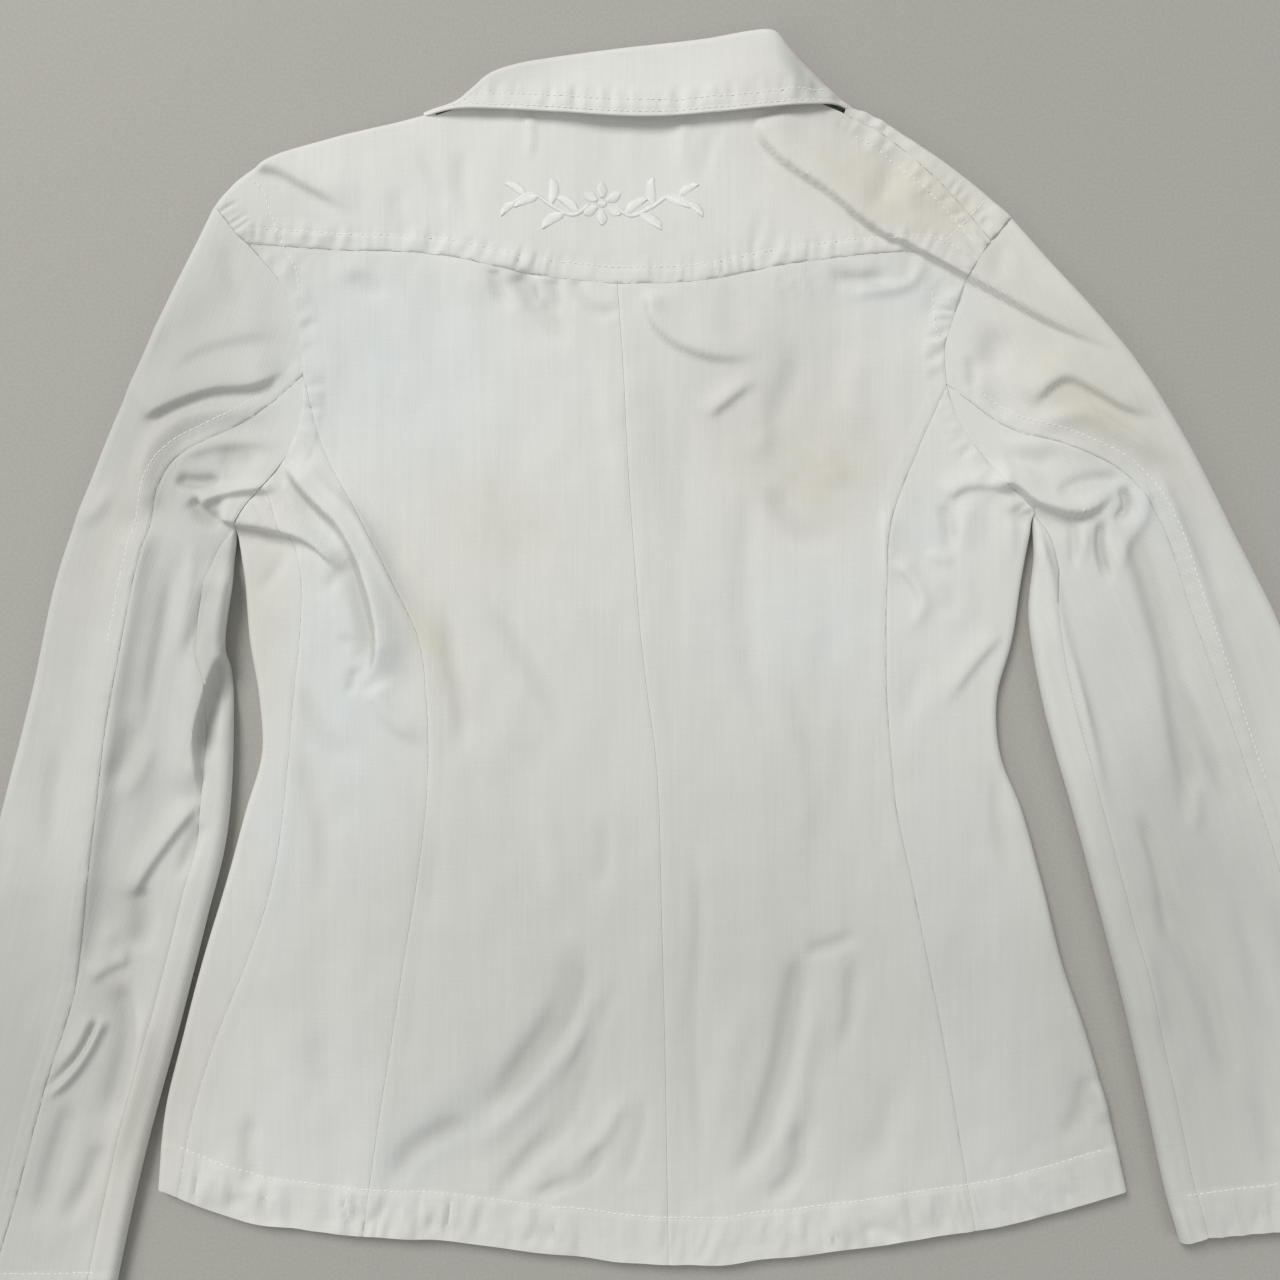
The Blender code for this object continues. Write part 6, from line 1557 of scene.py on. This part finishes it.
def cloth_material():
    """Washed white cotton denim: a fine twill with slubs along and across it, yellowed where it is worn, bluish in
    places, with painted shade in grey and in part of the blue.
    """
    name = "washed_white_denim"
    if name in bpy.data.materials:
        return bpy.data.materials[name]
    choice = settings()
    material = bpy.data.materials.new(name)
    material.use_nodes = True
    tree = material.node_tree
    shader = tree.nodes["Principled BSDF"]
    shader.location = (1700.0, 0.0)
    grain = node(tree, "ShaderNodeAttribute", (-6, 0), attribute_name="grain").outputs["Vector"]
    # The attribute holds yellow, blue and grey shares; most of the grey is painted shade.
    tint_and_shade = node(tree, "ShaderNodeAttribute", (-6, 3), attribute_name="tint_and_shade").outputs["Color"]
    parts = node(tree, "ShaderNodeSeparateColor", (-5, 3))
    link(tree, tint_and_shade, parts.inputs["Color"])

    lengthwise = noise_along(tree, grain, (-5, -3), (900.0, 34.0, 60.0), 2.0, 0.6)
    broad_slub = noise_along(tree, grain, (-5, -2), (360.0, 15.0, 60.0), 1.0, 0.5)
    crosswise = noise_along(tree, grain, (-5, -1), (55.0, 1150.0, 60.0), 2.0, 0.6)
    fuzz = noise_along(tree, grain, (-5, 0), (1700.0, 1700.0, 1700.0), 3.0, 0.7)
    cloud = noise_along(tree, grain, (-5, 1), (22.0, 16.0, 20.0), 3.0, 0.55)
    mottle = noise_along(tree, grain, (-5, 2), (85.0, 60.0, 60.0), 3.0, 0.6)

    twill = node(tree, "ShaderNodeTexWave", (-3, -4), wave_type="BANDS", bands_direction="DIAGONAL",
                 wave_profile="SIN", Scale=1.0, Distortion=1.2, Detail=1.0)
    mapping = node(tree, "ShaderNodeMapping", (-4, -4))
    mapping.inputs["Scale"].default_value = (250.0, 200.0, 0.0)
    link(tree, grain, mapping.inputs["Vector"])
    link(tree, mapping.outputs["Vector"], twill.inputs["Vector"])

    # Colour: the white of the cloth, its yellow and blue, the grey of painted shade, then the fine streaks of the
    # weave.
    colour = blended(tree, (-1, 0), scaled(tree, cloud, (-2, 0), 0.0, 0.5), colour_of(choice.cloth_colour),
                     colour_of(choice.shade_colour))
    yellow = joined(tree, (-1, 2), "MULTIPLY", parts.outputs["Red"], scaled(tree, mottle, (-2, 2), 0.65, 1.15))
    # Blue: partly painted shade, in the trough at the lower left back.
    blue = joined(tree, (-1, 3), "MULTIPLY", parts.outputs["Green"], scaled(tree, mottle, (-2, 3), 0.75, 1.15))
    colour = blended(tree, (0, 0), yellow, colour, colour_of(choice.yellow_tint))
    colour = blended(tree, (1, 0), blue, colour, colour_of(choice.blue_tint_and_shade))
    # Grey mixed in by the third share: mostly painted shade, in the folds and where less light falls.
    colour = blended(tree, (2, 0), parts.outputs["Blue"], colour, colour_of(choice.grey_and_painted_shade))
    streak = joined(tree, (3, 1), "MULTIPLY", scaled(tree, lengthwise, (2, 1), 0.984, 1.008),
                    scaled(tree, broad_slub, (2, 2), 0.986, 1.006))
    streak = joined(tree, (4, 1), "MULTIPLY", streak, scaled(tree, crosswise, (3, 2), 0.990, 1.006))
    tone = node(tree, "ShaderNodeVectorMath", (5, 0), operation="SCALE")
    link(tree, colour, tone.inputs[0])
    link(tree, streak, tone.inputs["Scale"])
    link(tree, tone.outputs["Vector"], shader.inputs["Base Color"])

    # Relief: slubs first, then the twill and the fuzz.
    relief = joined(tree, (3, 4), "MULTIPLY", lengthwise, 0.9)
    relief = joined(tree, (4, 4), "ADD", relief, joined(tree, (3, 5), "MULTIPLY", broad_slub, 0.8))
    relief = joined(tree, (5, 4), "ADD", relief, joined(tree, (4, 5), "MULTIPLY", crosswise, 0.6))
    relief = joined(tree, (6, 4), "ADD", relief, joined(tree, (5, 5), "MULTIPLY", twill.outputs["Fac"], 0.35))
    relief = joined(tree, (7, 4), "ADD", relief, joined(tree, (6, 5), "MULTIPLY", fuzz, 0.35))
    bump = node(tree, "ShaderNodeBump", (8, 4), Strength=choice.weave_strength, Distance=0.00022)
    link(tree, relief, bump.inputs["Height"])
    link(tree, bump.outputs["Normal"], shader.inputs["Normal"])
    link(tree, scaled(tree, fuzz, (7, 2), 0.82, 0.96), shader.inputs["Roughness"])
    shader.inputs["Metallic"].default_value = 0.0
    shader.inputs["Specular IOR Level"].default_value = 0.22
    shader.inputs["Sheen Weight"].default_value = 0.18
    shader.inputs["Sheen Roughness"].default_value = 0.6
    return material


def thread_material(satin=False):
    name = "satin_thread" if satin else "cotton_thread"
    if name in bpy.data.materials:
        return bpy.data.materials[name]
    material = bpy.data.materials.new(name)
    material.use_nodes = True
    tree = material.node_tree
    shader = tree.nodes["Principled BSDF"]
    place = node(tree, "ShaderNodeTexCoord", (-5, 0)).outputs["Object"]
    plies = noise_along(tree, place, (-4, 0), (1400.0, 1400.0, 1400.0), 2.0, 0.6)
    drift = noise_along(tree, place, (-4, 1), (120.0, 120.0, 120.0), 2.0, 0.5)
    light = colour_of(settings().thread_colour)
    dark = tuple(value * (0.94 if satin else 0.84) for value in light[:3]) + (1.0,)
    factor = joined(tree, (-1, 0), "MULTIPLY", scaled(tree, plies, (-2, 0), 0.0, 0.8), scaled(tree, drift, (-2, 1), 0.5, 1.0))
    link(tree, blended(tree, (0, 0), factor, light, dark), shader.inputs["Base Color"])
    link(tree, scaled(tree, plies, (0, 2), 0.30 if satin else 0.6, 0.42 if satin else 0.8),
         shader.inputs["Roughness"])
    bump = node(tree, "ShaderNodeBump", (0, 3), Strength=0.4, Distance=0.00008)
    link(tree, plies, bump.inputs["Height"])
    link(tree, bump.outputs["Normal"], shader.inputs["Normal"])
    shader.inputs["Specular IOR Level"].default_value = 0.8 if satin else 0.3
    shader.inputs["Sheen Weight"].default_value = 0.15
    return material


def floor_material():
    material = bpy.data.materials.new("pale_counter")
    material.use_nodes = True
    tree = material.node_tree
    shader = tree.nodes["Principled BSDF"]
    place = node(tree, "ShaderNodeTexCoord", (-5, 0)).outputs["Object"]
    grit = noise_along(tree, place, (-4, 0), (700.0, 700.0, 700.0), 2.0, 0.6)
    base = colour_of(settings().floor_colour)
    darker = tuple(value * 0.89 for value in base[:3]) + (1.0,)
    link(tree, blended(tree, (-1, 0), scaled(tree, grit, (-2, 0), 0.0, 1.0), base, darker),
         shader.inputs["Base Color"])
    shader.inputs["Roughness"].default_value = 0.6
    shader.inputs["Specular IOR Level"].default_value = 0.25
    return material


def settings():
    return bpy.context.scene.laid_jacket


LAID_OUT = {}


def shared_plan():
    if not LAID_OUT:
        LAID_OUT.update(lay_out())
    return LAID_OUT


def shared_cloth(side=None):
    name = "cloth_" + str(side)
    if name not in LAID_OUT:
        LAID_OUT[name] = Cloth(shared_plan(), side)
    return LAID_OUT[name]


def dress(node_name, grids):
    return cloth_piece("cloth_" + node_name, node_name, grids)


class JacketSettings(bpy.types.PropertyGroup):
    cloth_thickness: FloatProperty(name="Cloth thickness", description="Thickness of the denim with its doubled edges",
                                   default=0.0017, min=0.0008, max=0.003, subtype="DISTANCE", unit="LENGTH")
    fold_strength: FloatProperty(name="Fold strength", description="Height of the folds, 1 as laid out",
                                 default=1.0, min=0.0, max=1.3, subtype="FACTOR")
    weave_strength: FloatProperty(name="Weave strength", description="Depth of the weave's relief",
                                  default=0.55, min=0.0, max=1.0, subtype="FACTOR")
    stitch_length: FloatProperty(name="Stitch length", description="Length of one topstitch",
                                 default=0.0026, min=0.001, max=0.006, subtype="DISTANCE", unit="LENGTH")
    stitch_pitch: FloatProperty(name="Stitch spacing", description="From the start of a topstitch to the next",
                                default=0.0033, min=0.0015, max=0.008, subtype="DISTANCE", unit="LENGTH")
    thread_thickness: FloatProperty(name="Thread thickness", description="Thickness of the topstitching thread",
                                    default=0.00056, min=0.0002, max=0.001, subtype="DISTANCE", unit="LENGTH")
    cloth_colour: FloatVectorProperty(name="Cloth", description="White of the washed cotton",
                                      default=(0.83, 0.83, 0.795), subtype="COLOR", min=0.0, max=1.0)
    shade_colour: FloatVectorProperty(name="Second white", description="White of the more worn places",
                                      default=(0.795, 0.795, 0.755), subtype="COLOR", min=0.0, max=1.0)
    yellow_tint: FloatVectorProperty(name="Yellowed white", description="Cloth where it has yellowed",
                                     default=(0.74, 0.70, 0.57), subtype="COLOR", min=0.0, max=1.0)
    # The bluish white is partly painted shade, in the trough at the lower left back.
    blue_tint_and_shade: FloatVectorProperty(name="Bluish white", description="Cloth where the brightener shows",
                                   default=(0.79, 0.84, 0.845), subtype="COLOR", min=0.0, max=1.0)
    # The greyed white is mostly painted shade: in the folds, towards the hem, over the sleeves and on the collar.
    grey_and_painted_shade: FloatVectorProperty(name="Greyed white", description="Cloth where it is greyed",
                                   default=(0.56, 0.56, 0.53), subtype="COLOR", min=0.0, max=1.0)
    thread_colour: FloatVectorProperty(name="Thread", description="Topstitching and embroidery thread",
                                       default=(0.95, 0.95, 0.93), subtype="COLOR", min=0.0, max=1.0)
    floor_colour: FloatVectorProperty(name="Counter", description="The pale counter under the jacket",
                                      default=(0.47, 0.46, 0.42), subtype="COLOR", min=0.0, max=1.0)
    key_power: FloatProperty(name="Main light", description="Power of the large soft light beyond the collar",
                             default=120.0, min=0.0, subtype="POWER")
    side_power: FloatProperty(name="Side lights", description="Power of the weaker lights on both sides",
                              default=2.6, min=0.0, subtype="POWER")
    room_light: FloatProperty(name="Room light", description="Even light from all round", default=0.35, min=0.0)


class JACKET_OT_stage(bpy.types.Operator):
    """Build the pale counter, the soft lights and the camera above the jacket"""
    bl_idname = "jacket.stage"
    bl_label = "Counter, Lights and Camera"

    def execute(self, context):
        choice = settings()
        scene = context.scene
        half = 2.2
        mesh = bpy.data.meshes.new("counter")
        mesh.from_pydata([(-half, -half, 0.0), (half, -half, 0.0), (half, half, 0.0), (-half, half, 0.0)], [],
                         [(0, 1, 2, 3)])
        counter = bpy.data.objects.new("counter", mesh)
        counter.data.materials.append(floor_material())
        scene.collection.objects.link(counter)

        middle = Vector((-PLAN_CENTRE[0] * MM, -PLAN_CENTRE[1] * MM, 0.0))
        for name, place, size, power, colour in (
                ("main_light", KEY_PLACE, 2.0, choice.key_power, (1.0, 0.985, 0.955)),
                ("left_light", LEFT_PLACE, 0.8, 1.2 * choice.side_power, (1.0, 0.99, 0.97)),
                ("right_light", RIGHT_PLACE, 0.8, choice.side_power, (1.0, 0.99, 0.97))):
            light = bpy.data.lights.new(name, "AREA")
            light.shape = "DISK"
            light.size = size
            light.energy = power
            light.color = colour
            lamp = bpy.data.objects.new(name, light)
            lamp.location = middle + Vector(place)
            lamp.rotation_euler = (-Vector(place)).to_track_quat("-Z", "Y").to_euler()
            scene.collection.objects.link(lamp)

        world = bpy.data.worlds.new("room")
        world.use_nodes = True
        background = world.node_tree.nodes["Background"]
        background.inputs["Color"].default_value = (0.96, 0.98, 1.0, 1.0)
        background.inputs["Strength"].default_value = choice.room_light
        scene.world = world
        scene.view_settings.view_transform = "Standard"

        lens = bpy.data.cameras.new("view_from_above")
        lens.sensor_width = 36.0
        lens.lens = 36.0
        lens.clip_start = 0.01
        lens.clip_end = 20.0
        camera = bpy.data.objects.new("view_from_above", lens)
        camera.location = middle + Vector((VIEW_PLACE[0] * MM, VIEW_PLACE[1] * MM, VIEW_HEIGHT))
        scene.collection.objects.link(camera)
        scene.camera = camera
        return {"FINISHED"}


class JACKET_OT_yoke(bpy.types.Operator):
    """Build the back yoke, from the neck to the curved yoke seam"""
    bl_idname = "jacket.yoke"
    bl_label = "Yoke"

    def execute(self, context):
        dress("yoke", yoke_grids(shared_plan(), shared_cloth()))
        return {"FINISHED"}


class JACKET_OT_backs(bpy.types.Operator):
    """Build the two centre backs and the two side backs"""
    bl_idname = "jacket.backs"
    bl_label = "Backs"

    def execute(self, context):
        for side in ("left", "right"):
            dress("back_" + side, back_grids(shared_plan(), shared_cloth(), side))
            dress("side_back_" + side, side_back_grids(shared_plan(), shared_cloth(), side))
        return {"FINISHED"}


class JACKET_OT_fronts(bpy.types.Operator):
    """Build the two fronts, which lie on the counter under the back"""
    bl_idname = "jacket.fronts"
    bl_label = "Fronts"

    def execute(self, context):
        dress("front_left", left_front_grids(shared_plan(), shared_cloth()))
        dress("front_right", right_front_grids(shared_plan(), shared_cloth()))
        return {"FINISHED"}


class JACKET_OT_sleeves(bpy.types.Operator):
    """Build the two-part sleeves"""
    bl_idname = "jacket.sleeves"
    bl_label = "Sleeves"

    def execute(self, context):
        for side, cuff in (("left", LEFT_CUFF), ("right", RIGHT_CUFF)):
            top, under = sleeve_grids(shared_plan(), shared_cloth(side), side, cuff)
            dress("top_sleeve_" + side, top)
            dress("under_sleeve_" + side, under)
        return {"FINISHED"}


class JACKET_OT_collar(bpy.types.Operator):
    """Build the turned-down collar and the stand inside it"""
    bl_idname = "jacket.collar"
    bl_label = "Collar"

    def execute(self, context):
        fall, stand = collar_grids(shared_plan(), shared_cloth())
        dress("collar_fall", fall)
        dress("collar_stand", stand)
        return {"FINISHED"}


class JACKET_OT_topstitching(bpy.types.Operator):
    """Sew the rows of topstitching, stitch by stitch"""
    bl_idname = "jacket.topstitching"
    bl_label = "Topstitching"

    def execute(self, context):
        plan = shared_plan()
        choice = settings()
        length = choice.stitch_length / MM
        pitch = choice.stitch_pitch / MM
        for name, side, paths in STITCH_ROWS:
            cloth = shared_cloth(side)
            rows = []
            for index, (path, start, stop) in enumerate(paths):
                part = along(plan[path], np.linspace(start, stop, ROW_POINTS))
                rows.append(stitch_row(set_on(part, cloth.height), length, pitch, 60 + index))
            thread_piece(name, rows)
        rows = [stitch_row(beside_collar_edge(plan["collar_leaf"], distance), length, pitch, 70 + index)
                for index, distance in enumerate(COLLAR_STITCH_DISTANCES)]
        thread_piece("stitches_collar", rows)
        return {"FINISHED"}


class JACKET_OT_embroidery(bpy.types.Operator):
    """Embroider the garland of leaves on the yoke in white satin stitch"""
    bl_idname = "jacket.embroidery"
    bl_label = "Embroidery"

    def execute(self, context):
        cloth = shared_cloth()
        starts = []
        ends = []
        for first, last in garland():
            starts.append(set_on(first, cloth.height))
            ends.append(set_on(last, cloth.height))
        template, faces = thread_template(SATIN_RINGS, 4)
        points, all_faces = lay_threads(np.vstack(starts), np.vstack(ends), template, faces)
        piece = mesh_piece("embroidery_garland", points, all_faces, thread_material(satin=True))
        return {"FINISHED"}


class JACKET_PT_panel(bpy.types.Panel):
    bl_label = "Laid-Out Jacket"
    bl_idname = "JACKET_PT_panel"
    bl_space_type = "VIEW_3D"
    bl_region_type = "UI"
    bl_category = "Jacket"

    def draw(self, context):
        layout = self.layout
        for name in JacketSettings.__annotations__:
            layout.prop(settings(), name)
        for kind in OPERATORS:
            layout.operator(kind.bl_idname)


OPERATORS = (JACKET_OT_stage, JACKET_OT_yoke, JACKET_OT_backs, JACKET_OT_fronts, JACKET_OT_sleeves,
             JACKET_OT_collar, JACKET_OT_topstitching, JACKET_OT_embroidery)
CLASSES = (JacketSettings,) + OPERATORS + (JACKET_PT_panel,)


def register():
    for kind in CLASSES:
        bpy.utils.register_class(kind)
    bpy.types.Scene.laid_jacket = PointerProperty(type=JacketSettings)


def unregister():
    del bpy.types.Scene.laid_jacket
    for kind in reversed(CLASSES):
        bpy.utils.unregister_class(kind)


def main():
    register()
    bpy.ops.jacket.stage()
    bpy.ops.jacket.yoke()
    bpy.ops.jacket.backs()
    bpy.ops.jacket.fronts()
    bpy.ops.jacket.sleeves()
    bpy.ops.jacket.collar()
    bpy.ops.jacket.topstitching()
    bpy.ops.jacket.embroidery()


if __name__ == "__main__":
    main()
